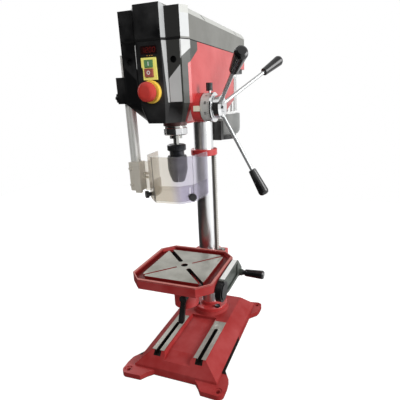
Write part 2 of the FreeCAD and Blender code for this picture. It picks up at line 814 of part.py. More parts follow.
def full_console():
    solid = head_envelope().common(console_zone())
    solid = solid.cut(feed_boss(free_gap)).cut(quill_boss(free_gap))
    solid = solid.cut(tray_room())
    return solid.cut(rod(quill_r + 3, (0, sy, nose_bottom - 5), (0, sy, seam_z + 1)))


def bezel_zone():
    # outer bands of the console, beside the casting
    out = []
    for s in (-1, 1):
        points = [(s * 71, seam_z + 5), (s * 120, seam_z + 5), (s * 120, nose_bottom - 20),
                  (s * 44, nose_bottom - 20), (s * 44, nose_bottom), (s * 71, shoulder_z)]
        out.append(front_prism(points, sy - 140, sy))
    return out


def strip_zone():
    # light strips above the bands, that carry on up over the cover
    out = []
    for s in (-1, 1):
        points = [(s * 70, seam_z + 5), (s * 120, seam_z + 5), (s * 120, seam_z - 9), (s * 86, seam_z - 17),
                  (s * 70, seam_z - 39)]
        out.append(front_prism(points, sy - 140, sy - 75))
    return out


def trim_zones():
    # sunk panels of the lower flanks, and the bright edges of the middle
    f = sy - nose_y
    out = []
    for s in (-1, 1):
        points = [(s * 41, shoulder_z + 3), (s * 41, shoulder_z + 52), (s * 70, shoulder_z + 80),
                  (s * 70, shoulder_z + 3)]
        out.append(front_prism(points, f + tower_step - 1, f + tower_step + 3))
        edge = [(s * 31.5, seam_z + 5), (s * 39.5, seam_z + 5), (s * 39.5, shoulder_z + 2),
                (s * 36.5, shoulder_z + 2)]
        out.append(front_prism(edge, f - 1, f + tower_step + 1))
    return out


def make_console():
    solid = full_console()
    f = sy - nose_y
    cuts = bezel_zone() + trim_zones()
    w, h = window_w / 2, window_h / 2
    cuts.append(box(-w, w, f - 1, f + window_t, window_z - h, window_z + h))
    bw = button_w / 2 + free_gap
    for z, tall in button_rows():
        bh = tall / 2 + free_gap
        cuts.append(box(-bw, bw, f - 1, f + 9, z - bh, z + bh))
    cuts.append(rod(estop_stem_r + run_gap, (0, f - 1, estop_z), (0, f + 18, estop_z)))
    z = plate_mid_z + 17
    for s in (-1, 1):
        cuts.append(rod(7, (s * 54, f + tower_step - 1, z), (s * 54, f + tower_step + 5, z)))
    for c in cuts:
        solid = solid.cut(c)
    return solid


def make_bezels():
    whole = full_console()
    out = []
    for zone, strip in zip(bezel_zone(), strip_zone()):
        out.append(whole.common(zone).cut(strip))
    return group(out)


def make_trims():
    whole = full_console()
    out = [whole.common(z) for z in trim_zones()]
    for zone, strip in zip(bezel_zone(), strip_zone()):
        out.append(whole.common(zone).common(strip))
    return group(out)


def button_rows():
    return ((plate_mid_z + 10.5, start_h), (plate_mid_z - 8, stop_h))


def tray_room():
    # room of the pulleys, sunk into the top of the head
    w = head_half - tray_wall
    back = sy + shelf_back - tray_wall
    room = box(-w, w, sy - tray_front, back, seam_z - tray_depth, seam_z + 1)
    return round_upright(room, shelf_r - tray_wall, lambda p: p.y > back - 1)


def make_head():
    y = sy
    tall = head_envelope().cut(console_zone())
    shelf = box(-head_half, head_half, y + tall_back - 1, y + shelf_back, shelf_z, seam_z)
    shelf = round_upright(shelf, shelf_r, lambda p: p.y > y + shelf_back - 1)
    sleeve = rod(column_r + 12, (0, column_y, head_bottom), (0, column_y, nose_bottom + 10))
    keel = box(-keel_rib, keel_rib, y, column_y, head_bottom + 3, nose_bottom + 10)
    solid = fuse([tall, shelf, feed_boss(0), quill_boss(0), sleeve, keel])
    pinion_room = feed_module * feed_teeth / 2 + pinion_tip + 0.8
    cuts = [tray_room(), core_room(),
            rod(quill_r + slide_gap, (0, y, head_bottom - 1), (0, y, quill_bottom + quill_len + 4)),
            rod(sleeve_bore(), (0, y, quill_bottom + quill_len), (0, y, seam_z)),
            rod(column_r, (0, column_y, head_bottom - 1), (0, column_y, column_top)),
            rod(pinion_room, (-pinion_w / 2 - 1, feed_y, feed_z), (pinion_w / 2 + 1, feed_y, feed_z)),
            rod(feed_shaft_r + run_gap, (-feed_shaft_in - 1, feed_y, feed_z),
                (feed_boss_out + 5, feed_y, feed_z)),
            rod(motor_shaft_r + 8, (0, y + motor_y, shelf_z - 5), (0, y + motor_y, seam_z)),
            rod(idler_r, (0, y + idler_y, idler_pin_low()), (0, y + idler_y, seam_z)),
            box(-head_half - 1, -head_half + sleeve_pocket(), py() - sleeve_r - 1, py() + sleeve_r + 1,
                guard_box_low + guard_box_wall, guard_box_high - guard_box_wall)]
    for z in head_screw_levels():
        cuts.append(rod(6, (-head_half - 1, column_y, z), (0, column_y, z)))
    for c in cuts:
        solid = solid.cut(c)
    return solid


def core_room():
    # the casting is hollow between its walls and its bosses, open to the pulley tray
    w = head_half - tray_wall
    z0, z1 = shoulder_z + 30, seam_z - tray_depth + 1
    room = box(-w, w, sy - 27, sy + tall_back - tray_wall, z0, z1)
    keep = [rod(quill_boss_r + 8, (0, sy, z0), (0, sy, z1)),
            rod(column_r + 14, (0, column_y, z0), (0, column_y, z1)),
            rod(20, (0, sy + idler_y, z0), (0, sy + idler_y, z1)),
            box(-6, 6, sy, column_y, z0, z1),
            box(-w, 0, column_y - 14, column_y + 14, z0, z1)]
    for k in keep:
        room = room.cut(k)
    return room


def sleeve_pocket():
    # depth of the pocket behind the guard's bracket that clears its turning sleeve
    return sleeve_r + 2 * free_gap - (post_x - head_half)


def idler_pin_low():
    return seam_z - tray_depth - 6


def sleeve_bore():
    return spindle_r + 7 + run_gap


def head_screw_levels():
    return (nose_bottom + 60, nose_bottom + 120)


def head_screws():
    # two that lock the head on the column from the left
    return [rod(6, (-head_half - 0.5, column_y, z), (-column_r, column_y, z)) for z in head_screw_levels()]


def make_fixings():
    # flange bolts, set screws and the stud that the middle pulley turns on
    y = sy + idler_y
    stud = rod(idler_r, (0, y, idler_pin_low()), (0, y, pulley_floor + steps * step_h + 3))
    return group(flange_bolts() + [collar_screw()] + head_screws() + [stud])


# Belt cover
def cover_plan(inset, back, bevel=0.0):
    # the bevel runs along the sides and the back; the front goes straight up
    h = head_half - inset
    f = -nose_y + inset
    k = inset * 0.6
    side = f + 8 + corner_back - k
    return [(-h + bevel, back - bevel), (-h + bevel, side + 14), (-h, side), (-flank_half + k, f + tower_step),
            (flank_half - k, f + tower_step), (h, side), (h - bevel, side + 14), (h - bevel, back - bevel)]


def cover_body(inset, z0, drop):
    z1 = seam_z + cover_side_h
    z2 = cover_top - drop
    back = shelf_back - inset
    low = prism(moved(cover_plan(inset, back), 0, sy), z0, z1)
    cap = loft([at_level(cover_plan(inset, back), z1), at_level(cover_plan(inset, back, cover_bevel), z2)])
    r = shelf_r - inset
    low = round_upright(low, r, lambda p: p.y > sy + back - 1)
    cyl = rod(r, (0, 0, z1 - 1), (0, 0, z2 + 1))
    corner = box(-400, 400, sy + back - r, sy + back + 50, z1 - 1, z2 + 1)
    w = head_half - inset - r
    corner = corner.cut(box(-w, w, sy + back - r - 1, sy + back + 1, z1 - 2, z2 + 2))
    for s in (-1, 1):
        c = cyl.copy()
        c.translate(V(s * w, sy + back - r, 0))
        corner = corner.cut(c)
    cap = cap.cut(corner)
    return fuse([low, cap])


def ridge_block(inset, drop):
    f = sy - nose_y + inset
    half = tower_half - inset
    z2 = cover_top + cover_ridge - drop
    w = half + tower_step
    points = [(-w, f + tower_step, 0), (-half, f, 0), (half, f, 0), (w, f + tower_step, 0),
              (w, sy + shelf_back - 60, 0), (-w, sy + shelf_back - 60, 0)]
    low = [(x, y, seam_z + seam_gap - (1 if inset else 0)) for x, y, _ in points]
    mid = [(x, y, cover_top - drop) for x, y, _ in points]
    top = [(-half, f + 1.2, z2), (-half + 0.5, f + 1, z2), (half - 0.5, f + 1, z2), (half, f + 1.2, z2),
           (half, sy + shelf_back - 90, z2), (-half, sy + shelf_back - 90, z2)]
    return fuse([loft([low, mid]), loft([mid, top])])


def full_cover():
    outer = fuse([cover_body(0, seam_z + seam_gap, 0), ridge_block(0, 0)])
    inner = fuse([cover_body(cover_wall, seam_z - 1, cover_wall), ridge_block(cover_wall, cover_wall)])
    return outer.cut(inner)


def front_zone():
    f = sy - nose_y
    return box(-flank_half, flank_half, f - 5, f + tower_step + 5, seam_z - 5, cover_top + 30)


def make_cover():
    return fuse([full_cover().cut(front_zone())] + lid_knuckles())


def make_cover_front():
    return full_cover().common(front_zone())


def make_cover_hinge():
    # pin of the cover hinge along the left edge of the head, and the two knuckles that hold it
    x, z = -head_half - hinge_out, seam_z
    ends = [sy + hinge_places[0] - 2, sy + lid_places[1] + lid_len + 3]
    out = [rod(hinge_pin_r, (x, ends[0], z), (x, ends[1], z))]
    for place in hinge_places:
        y0, y1 = sy + place, sy + place + hinge_len
        tube = rod(hinge_tube_r, (x, y0, z), (x, y1, z))
        leaf = box(-head_half - 2, -head_half, y0, y1, z - hinge_leaf_h, z - 0.5)
        arm = box(x, -head_half, y0, y1, z - 5, z - 2)
        out.append(fuse([tube, leaf, arm]))
    return fuse(out)


def lid_knuckles():
    x, z = -head_half - hinge_out, seam_z
    out = []
    bore = rod(hinge_pin_r + run_gap, (x, sy, z), (x, sy + 330, z))
    for place in lid_places:
        y0, y1 = sy + place, sy + place + lid_len
        tube = rod(hinge_tube_r, (x, y0, z), (x, y1, z))
        leaf = box(-head_half - 2, -head_half, y0, y1, z + 1.2, z + hinge_leaf_h)
        arm = box(x, -head_half, y0, y1, z + 2, z + 5)
        out.append(fuse([tube, leaf, arm]).cut(bore))
    return out


# Quill, spindle, chuck
def make_quill():
    z0, z1 = quill_bottom, quill_bottom + quill_len
    body = rod(quill_r, (0, sy, z0), (0, sy, z1))
    # rack cut into the front, one tooth level with the feed shaft
    pitch = math.pi * feed_module
    line = sy - (quill_r - 1)
    w = pinion_w / 2
    gap = box(-w - 1.5, w + 1.5, sy - quill_r - 1, line + quill_root, z0 + 26, z1 + 1)
    first = math.ceil((z0 + 28 - feed_z) / pitch)
    last = int((z1 - feed_z) / pitch)
    for i in range(first, last + 1):
        points = rack_points(feed_z + pitch * i, feed_module, quill_tip, quill_root + 0.5)
        gap = gap.cut(side_prism([(line - d, z) for d, z in points], -w - 2, w + 2))
    body = body.cut(gap)
    return body.cut(rod(spindle_r + run_gap, (0, sy, z0 - 1), (0, sy, z1 + 1)))


def make_quill_ring():
    h, r = quill_ring_h, quill_ring_r
    profile = [(nut_r + 1, -h), (r - 2, -h), (r, -h + 2), (r, -1), (r - 1, 0), (nut_r + 1, 0)]
    return lathe(profile, (0, sy, quill_bottom))


def make_spindle():
    top = quill_bottom + quill_len + 98
    low = quill_bottom - quill_ring_h - nut_h
    profile = [(0, chuck_top - 8), (arbor_r, chuck_top - 8), (arbor_r, low), (nut_r, low),
               (nut_r, low + nut_h + 2), (nut_r - 1.5, quill_bottom - 1), (spindle_r, quill_bottom - 1),
               (spindle_r, top), (0, top)]
    return lathe(profile, (0, sy, 0))


def knurl(r, z0, z1, count, depth):
    cuts = []
    for i in range(count):
        a = 360.0 / count * i
        c = box(r - depth, r + 2, -0.9, 0.9, z0 - 1, z1 + 1)
        c.translate(V(0, sy, 0))
        cuts.append(turned(c, a, (0, sy, 0), (0, 0, 1)))
    return cuts


def chuck_core(gap):
    # core profile below the neck, grown by gap: (radius, height) from the top down
    z2 = chuck_top - chuck_ring_h - chuck_neck_h
    z3 = z2 - chuck_body_h
    z4 = z3 - chuck_nose_h
    r = chuck_core_r + gap
    return [(r, z2 - 3 + gap), (r, z3 + 4 - gap / 2), (r - 3, z3 - chuck_nose_h * 0.45 - gap / 2),
            (chuck_bore_r + gap, z4 + 2 - gap / 2)]


def make_chuck_body():
    # ring held by hand, neck, and the core with its three slanted bores
    z = chuck_top
    z1 = z - chuck_ring_h
    z2 = z1 - chuck_neck_h
    core = chuck_core(0)
    bore = arbor_r + run_gap
    profile = [(0, z - 8.1), (bore, z - 8.1), (bore, z), (chuck_ring_r - 5, z), (chuck_ring_r, z - 2.5),
               (chuck_ring_r, z1 + 2), (chuck_ring_r - 2, z1), (chuck_neck_r, z1), (chuck_neck_r, z2 - 3)]
    profile += core + [(chuck_bore_r, chuck_low + 0.5), (0, chuck_low + 0.5)]
    solid = lathe(profile, (0, sy, 0))
    for c in knurl(chuck_ring_r, z1 + 3, z - 3, 24, 1.0):
        solid = solid.cut(c)
    for i in range(3):
        solid = solid.cut(jaw_solid(i, run_gap, -2, jaw_len + jaw_travel + 3))
    return solid


def make_chuck_sleeve():
    z2 = chuck_top - chuck_ring_h - chuck_neck_h
    z3 = z2 - chuck_body_h
    z4 = z3 - chuck_nose_h
    neck = chuck_neck_r + free_gap
    profile = [(neck, z2), (chuck_body_r - 2, z2), (chuck_body_r, z2 - 5), (chuck_body_r, z3),
               (chuck_body_r - 3.2, z3 - chuck_nose_h * 0.45), (chuck_nose_r + 1.5, z4 + 2),
               (chuck_nose_r, z4),
               (chuck_bore_r + free_gap, z4)]
    profile += chuck_core(free_gap)[::-1] + [(neck, z2 - 3 + free_gap)]
    return lathe(profile, (0, sy, 0))


def jaw_frame(i):
    # tip beside the chuck's axis at the nose, leaning out upward
    a = math.radians(120 * i + 30)
    lean = math.radians(jaw_lean)
    u = V(math.sin(lean) * math.cos(a), math.sin(lean) * math.sin(a), math.cos(lean))
    tip = V(jaw_shut * math.cos(a), sy + jaw_shut * math.sin(a), chuck_low + 2)
    return tip, u


def jaw_solid(i, grow, start, length):
    tip, u = jaw_frame(i)
    return Part.makeCylinder(jaw_r + grow, length, tip + u * start, u)


def make_jaw(i):
    # round jaw with a point toward the tool
    tip, u = jaw_frame(i)
    cut = rod(1.2, (0, sy, chuck_low - 5), (0, sy, chuck_low + 60))
    return jaw_solid(i, 0.0, 0.0, jaw_len).cut(cut)


# Feed
def make_feed_shaft():
    pinion = gear(feed_module, feed_teeth, pinion_w, (0, feed_y, feed_z), (1, 0, 0), math.pi / 2)
    out = feed_boss_out + 2 + ring_w + hub_w - 4
    shaft = rod(feed_shaft_r, (-feed_shaft_in, feed_y, feed_z), (out, feed_y, feed_z))
    return fuse([pinion, shaft])


def ring_x():
    return feed_boss_out + 1.0


def make_ring():
    # scale ring that turns on the hub's sleeve
    x = ring_x()
    bore = hub_sleeve_r + run_gap
    profile = [(bore, 0), (ring_r - 1, 0), (ring_r, 1), (ring_r, ring_w - 4.5), (ring_r + ring_rim, ring_w - 4),
               (ring_r + ring_rim, ring_w - 0.5), (ring_r, ring_w), (bore, ring_w)]
    solid = lathe(profile, (x, feed_y, feed_z), (1, 0, 0))
    return solid.cut(rod(3 + run_gap, (x + 13, feed_y, feed_z), (x + 13, feed_y, feed_z + 60)))


def make_ring_screw():
    x = ring_x() + 13
    low = feed_z + hub_sleeve_r + free_gap
    head_low = feed_z + ring_r + 4
    stem = rod(3, (x, feed_y, low), (x, feed_y, head_low))
    head = rod(7.5, (x, feed_y, head_low), (x, feed_y, head_low + 18))
    for i in range(8):
        a = math.radians(45 * i)
        fx, fy = x + 8.2 * math.cos(a), feed_y + 8.2 * math.sin(a)
        head = head.cut(rod(1.5, (fx, fy, head_low - 1), (fx, fy, head_low + 30)))
    return fuse([stem, head])


def make_pointer():
    # index beside the scale, on the front of the boss
    x1 = feed_boss_out
    y = feed_y - feed_boss_r
    plate = box(x1 - 13, x1 + 1.5, y - 3.5, y - 0.5, feed_z - 7, feed_z + 5)
    seat = box(x1 - 13, x1, y - 0.5, y + 6, feed_z - 7, feed_z + 5)
    seat = seat.cut(rod(feed_boss_r, (0, feed_y, feed_z), (200, feed_y, feed_z)))
    return fuse([plate, seat])


def hub_x():
    return ring_x() + ring_w + 0.5


def spoke_dir(i):
    t = math.radians(spoke_start + 120 * i)
    lean = math.radians(spoke_lean)
    return V(math.sin(lean), math.cos(lean) * math.sin(t), math.cos(lean) * math.cos(t))


def make_hub():
    x = hub_x()
    back = ring_x() - x
    profile = [(feed_shaft_r, back), (hub_sleeve_r, back), (hub_sleeve_r, 0), (hub_r - 1, 0), (hub_r, 1),
               (hub_r, hub_w - 5), (hub_r - 4, hub_w), (feed_shaft_r, hub_w)]
    solid = lathe(profile, (x, feed_y, feed_z), (1, 0, 0))
    cap = rod(feed_shaft_r + 3, (x + hub_w - 1, feed_y, feed_z), (x + hub_w + 3, feed_y, feed_z))
    solid = fuse([solid, cap])
    solid = solid.cut(rod(feed_shaft_r, (0, feed_y, feed_z), (x + hub_w - 3, feed_y, feed_z)))
    for i in range(3):
        solid = solid.cut(Part.makeCylinder(spoke_r, 300, spoke_root(i), spoke_dir(i)))
    return solid


def spoke_apex():
    return V(hub_x() + hub_w * 0.35, feed_y, feed_z)


def spoke_root(i):
    d = spoke_dir(i)
    return spoke_apex() + d * spoke_root_out


def make_spokes():
    out = []
    for i in range(3):
        length = spoke_reach + 20 - spoke_root_out
        out.append(Part.makeCylinder(spoke_r, length, spoke_root(i), spoke_dir(i)))
    return group(out)


def make_knobs():
    out = []
    for i in range(3):
        d = spoke_dir(i)
        a = spoke_apex() + d * spoke_reach
        profile = [(spoke_r, 0), (knob_r_in - 1.5, 0), (knob_r_in, 2), (knob_r_out, knob_len - 7),
                   (knob_r_out - 2, knob_len - 2), (knob_r_out - 5, knob_len), (0, knob_len), (0, 20),
                   (spoke_r, 20)]
        out.append(lathe(profile, (a.x, a.y, a.z), (d.x, d.y, d.z)))
    return group(out)


# Motor, pulleys and belts
def pulley(y, bore, big_low):
    radii = pulley_radii if big_low else pulley_radii[::-1]
    profile = [(bore, 0)]
    z = 0.0
    for r in radii:
        profile += [(r, z), (r, z + 2.2), (r - groove, z + 4.2), (r - groove, z + 10.8), (r, z + 12.8),
                    (r, z + step_h)]
        z += step_h
    profile += [(bore, z)]
    return lathe(profile, (0, sy + y, pulley_floor))


def make_spindle_pulley():
    body = pulley(0, spindle_r + run_gap, True)
    low = quill_bottom + quill_len + 6
    bore, h = spindle_r + run_gap, pulley_floor - low
    sleeve = lathe([(bore, 0), (spindle_r + 7, 0), (spindle_r + 7, h), (bore, h)], (0, sy, low))
    return fuse([body, sleeve])


def make_idler():
    return pulley(idler_y, idler_r + run_gap, False)


def make_motor_pulley():
    # pulley on the end of the motor's shaft
    shaft = rod(motor_shaft_r, (0, sy + motor_y, shelf_z - motor_plate_t + 0.4),
                (0, sy + motor_y, pulley_floor + steps * step_h + 3))
    return fuse([pulley(motor_y, motor_shaft_r, True), shaft])


def belt_outline(y0, r0, y1, r1, z):
    # closed line round two wheels
    a = math.asin((r0 - r1) / (y1 - y0))
    ca, sa = math.cos(a), math.sin(a)
    p1 = V(r0 * ca, sy + y0 + r0 * sa, z)
    p2 = V(r1 * ca, sy + y1 + r1 * sa, z)
    p3 = V(-r1 * ca, sy + y1 + r1 * sa, z)
    p4 = V(-r0 * ca, sy + y0 + r0 * sa, z)
    edges = [Part.LineSegment(p1, p2).toShape(), Part.Arc(p2, V(0, sy + y1 + r1, z), p3).toShape(),
             Part.LineSegment(p3, p4).toShape(), Part.Arc(p4, V(0, sy + y0 - r0, z), p1).toShape()]
    return Part.Wire(edges)


def belt_loop(y0, r0, y1, r1, z):
    # belt with sides that taper inward; r0 and r1 are its inner radii
    k = belt_h
    outer = Part.Face(belt_outline(y0, r0 + k, y1, r1 + k, z - belt_w / 2)).extrude(V(0, 0, belt_w))
    inner = Part.Face(belt_outline(y0, r0, y1, r1, z - belt_w)).extrude(V(0, 0, 2 * belt_w))
    out = outer.cut(inner)
    for s in (-1, 1):
        near = belt_outline(y0, r0, y1, r1, z + s * belt_in_w / 2)
        far = belt_outline(y0, r0 + k, y1, r1 + k, z + s * belt_w / 2)
        out = out.cut(Part.makeLoft([near, far], True, True))
    return out


def make_belts():
    big, small = pulley_radii[0] - groove + belt_lift, pulley_radii[-1] - groove + belt_lift
    front = belt_loop(0, big, idler_y, small, pulley_floor + step_h / 2)
    rear = belt_loop(idler_y, big, motor_y, small, pulley_floor + (steps - 0.5) * step_h)
    return group([front, rear])


def make_motor_plate():
    y0 = sy + tall_back + 4
    plate = box(-plate_half, plate_half, y0, sy + motor_y + 62, shelf_z - motor_plate_t, shelf_z)
    plate = round_upright(plate, 30, lambda p: p.y > y0 + 1)
    return plate.cut(rod(motor_shaft_r + 8, (0, sy + motor_y, 0), (0, sy + motor_y, 900)))


def make_motor():
    top = shelf_z - motor_plate_t
    z = motor_low
    body = rod(motor_r, (0, sy + motor_y, z), (0, sy + motor_y, top))
    fins = []
    for i in range(24):
        fin = box(motor_r - 2, motor_r + 5, -1.6, 1.6, z + 8, top - 14)
        fin.translate(V(0, sy + motor_y, 0))
        fins.append(turned(fin, 15 * i + 7.5, (0, sy + motor_y, 0), (0, 0, 1)))
    head = rod(motor_r + 6, (0, sy + motor_y, top - 10), (0, sy + motor_y, top))
    return fuse([body, head] + fins)


def make_motor_bell():
    h = motor_low - bell_low
    profile = [(0, 0), (bell_r - 14, 0), (bell_r - 6, 4), (bell_r - 1.5, 12), (bell_r, 22), (bell_r, h), (0, h)]
    return lathe(profile, (0, sy + motor_y, bell_low))


def make_motor_cap():
    h = bell_low - cap_low
    profile = [(0, 0), (cap_r - 8, 0), (cap_r - 8, h), (0, h)]
    solid = lathe(profile, (0, sy + motor_y, cap_low))
    for i in range(5):
        for s in (-1, 1):
            y = sy + motor_y + s * (8 + 11 * i)
            solid = solid.cut(box(-36, 36, y - 2, y + 2, cap_low - 1, cap_low + 4))
    return solid


def make_box():
    y0 = sy + box_front
    back = sy + motor_y - bell_r + 4
    solid = box(-box_half, box_half, y0, back, box_low, box_top)
    bell = rod(bell_r, (0, sy + motor_y, box_low - 60), (0, sy + motor_y, box_top + 60))
    gland = [rod(9, (-20, y0 + 12, box_low - 5), (-20, y0 + 12, box_low + 1)),
             rod(6.5, (-20, y0 + 12, box_low - 14), (-20, y0 + 12, box_low - 5))]
    return fuse([solid.cut(bell)] + gland)


# Controls
def front_y():
    return sy - nose_y


def make_window():
    w, h = window_w / 2, window_h / 2
    return box(-w, w, front_y() - 0.4, front_y() + window_t, window_z - h, window_z + h)


def make_switch_plate():
    y = front_y()
    z0, z1 = plate_mid_z - plate_h / 2, plate_mid_z + plate_h / 2
    w = plate_w / 2
    points = [(-w, z1), (w - 1, z1), (w, z0), (-w + 3, z0), (-w + 3, plate_mid_z + 1), (-w, plate_mid_z + 4)]
    solid = front_prism(points, y - plate_t_sw, y)
    bw = button_w / 2 + 0.5
    for z, tall in button_rows():
        h = tall / 2 + 0.5
        solid = solid.cut(box(-bw, bw, y - plate_t_sw - 1, y + 1, z - h, z + h))
    return solid


def button(z, h, out):
    y = front_y()
    return box(-button_w / 2, button_w / 2, y - plate_t_sw - out, y + 4, z - h / 2, z + h / 2)


def make_start():
    return button(plate_mid_z + 10.5, start_h, 1.5 + button_press * 0.4)


def make_stop():
    return button(plate_mid_z - 8, stop_h, button_out)


def make_estop_base():
    y = front_y()
    bore = estop_stem_r + free_gap
    profile = [(bore, 0), (estop_base_r, 0), (estop_base_r, estop_base_t - 2), (estop_base_r - 2, estop_base_t),
               (bore, estop_base_t)]
    return lathe(profile, (0, y, estop_z), (0, -1, 0))


def make_estop_stem():
    y = front_y()
    return rod(estop_stem_r, (0, y + 10, estop_z), (0, y - estop_base_t - estop_press - 3, estop_z))


def make_estop_button():
    y = front_y() - estop_base_t - estop_press - 3.3
    depth = estop_out - estop_base_t - estop_press - 3.3
    profile = [(0, 0), (estop_head_r - 3, 0), (estop_head_r - 0.5, 3), (estop_head_r, 6),
               (estop_head_r - 1, depth * 0.7), (estop_head_r - 5, depth - 2), (estop_head_r - 9, depth), (0, depth)]
    return lathe(profile, (0, y, estop_z), (0, -1, 0))


# Guard
def px():
    return -post_x


def py():
    return sy - post_front


def make_guard_box():
    low, high = guard_box_low, guard_box_high
    x, y = px(), py()
    solid = box(-guard_box_out, -head_half, y - 22, y + guard_box_d - 22, low, high)
    solid = solid.cut(rod(sleeve_r + run_gap, (x, y, low + guard_box_wall), (x, y, high - guard_box_wall)))
    solid = solid.cut(rod(post_corner() + free_gap, (x, y, low - 1), (x, y, high + 1)))
    stem_z = guard_knob_z()
    return solid.cut(rod(3 + run_gap, (-guard_box_out - 5, y, stem_z), (x, y, stem_z)))


def guard_knob_z():
    return guard_box_low + 14


def post_corner():
    # reach of the rounded corners of the post from its axis
    return (post_w / 2 - post_round) * math.sqrt(2) + post_round


def make_guard_sleeve():
    z0, z1 = guard_box_low + guard_box_wall + free_gap, guard_box_high - guard_box_wall - free_gap
    w = post_w / 2 + free_gap
    hole = box(px() - w, px() + w, py() - w, py() + w, z0 - 1, z1 + 1)
    hole = round_upright(hole, post_round, lambda p: True)
    return rod(sleeve_r, (px(), py(), z0), (px(), py(), z1)).cut(hole)


def make_guard_knob():
    # star knob on the outer side of the bracket; its screw grips the sleeve
    z = guard_knob_z()
    x = -guard_box_out
    stem = rod(3, (px() - sleeve_r - free_gap, py(), z), (x - 6, py(), z))
    head = rod(11, (x - 15, py(), z), (x - 4, py(), z))
    for i in range(5):
        a = math.radians(72 * i)
        c, s = 13.5 * math.cos(a), 13.5 * math.sin(a)
        head = head.cut(rod(5, (x - 20, py() + c, z + s), (x, py() + c, z + s)))
    return fuse([stem, head])


def make_post():
    w = post_w / 2
    solid = box(px() - w, px() + w, py() - w, py() + w, post_bottom, post_top)
    solid = round_upright(solid, post_round, lambda p: True)
    low, high = post_bottom - 1, post_top + 1
    for s in (-1, 1):
        for d in (-4.2, 4.2):
            x, y = px() + d, py() + s * w
            solid = solid.cut(box(x - 1.3, x + 1.3, y - 2, y + 2, low, high))
        solid = solid.cut(box(px() + s * w - 2.5, px() + s * w + 2.5, py() - 2.5, py() + 2.5, low, high))
    return solid


def make_guard_clamp():
    z1 = post_bottom + clamp_h
    w = post_w / 2
    jaw = box(px() - clamp_left, px() + clamp_half - 2, py() - w - 7, py() + w + 5, post_bottom, z1 - 2)
    cheek = box(px() + 2, px() + clamp_half, py() - w - 9, py() - w - 2, post_bottom - 5, z1)
    # two lugs that hold the flange of the shell from behind
    lugs = []
    y = flange_y() + flange_t_guard
    for z in (lug_z - 8, lug_z + 2):
        lugs.append(box(px() + clamp_half - 3, flange_x() + 10, y, y + 6, z, z + 6))
    solid = fuse([jaw, cheek] + lugs)
    solid = solid.cut(box(px() - w, px() + w, py() - w, py() + w, post_bottom - 10, z1 + 10))
    screws = []
    for z in (post_bottom + 16, post_bottom + clamp_h - 18):
        screws.append(rod(4, (px() - 8, py() - w - 11, z), (px() - 8, py() - w - 6, z)))
    return fuse([solid] + screws)


def flange_x():
    # outer edge of the shell's flange
    return -shell_side_half - flange_out


def flange_y():
    # front face of the flange, beside the post
    return py() - 3


def shell_plan(inset):
    f = shell_front - inset
    k = inset * 0.45
    a, b, c = shell_front_half - k, shell_side_half - inset, shell_back_half - inset
    s = shell_side_front - k
    return [(-c, shell_back), (-b, -s), (-a, -f), (a, -f), (b, -s), (c, shell_back)]


def shell_wall(inset, t, z0, z1):
    outer = shell_plan(inset)
    inner = shell_plan(inset + t)
    ring = outer + inner[::-1]
    return prism(moved(ring, 0, sy), z0, z1)


def make_shell():
    solid = shell_wall(0, shell_t, shell_low, shell_top)
    flange = box(flange_x(), -shell_side_half + 1, flange_y(), flange_y() + flange_t_guard - free_gap,
                 post_bottom, post_bottom + clamp_h)
    inside = prism(moved(shell_plan(shell_t / 2), 0, sy), 0, post_top)
    solid = fuse([solid, flange.cut(inside)])
    for s in (-1, 1):
        p, n = screw_place(s)
        solid = solid.cut(Part.makeCylinder(2.5 + run_gap, 12, p - n * 6, n))
    return solid


def make_slider():
    # lower guard, inside the shell, with an upright slot at each screw
    solid = shell_wall(shell_t + free_gap, shell_t, shell_bottom, slider_top)
    for s in (-1, 1):
        p, n = screw_place(s)
        for dz in (0, screw_slot):
            solid = solid.cut(Part.makeCylinder(2.5 + free_gap, 16, p - n * 12 + V(0, 0, dz), n))
        t = V(-n.y, n.x, 0) * (2.5 + free_gap)
        q = p - n * 12
        corner = [q - t, q + t, q + t + n * 16, q - t + n * 16]
        slot = Part.Face(Part.makePolygon(corner + [corner[0]])).extrude(V(0, 0, screw_slot))
        solid = solid.cut(slot)
    return solid


def screw_place(s):
    # on the corner facet of the shell
    x = s * (shell_front_half + (shell_side_half - shell_front_half) * screw_share)
    y = sy - shell_front + (shell_front - shell_side_front) * screw_share
    n = V(s * (shell_front - shell_side_front), -(shell_side_half - shell_front_half), 0)
    n.normalize()
    return V(x, y, screw_z), n


def make_guard_screw(s):
    p, n = screw_place(s)
    stem = Part.makeCylinder(2.5, 2 * shell_t + 12, p - n * (2 * shell_t + 4), n)
    nut = Part.makeCylinder(5, 2.5, p - n * (2 * shell_t + 2 * free_gap + 2.8), n)
    neck = Part.makeCylinder(5.5, 7, p + n * free_gap, n)
    knob = Part.makeCylinder(guard_screw_r, 8, p + n * 7, n)
    return fuse([stem, nut, neck, knob])


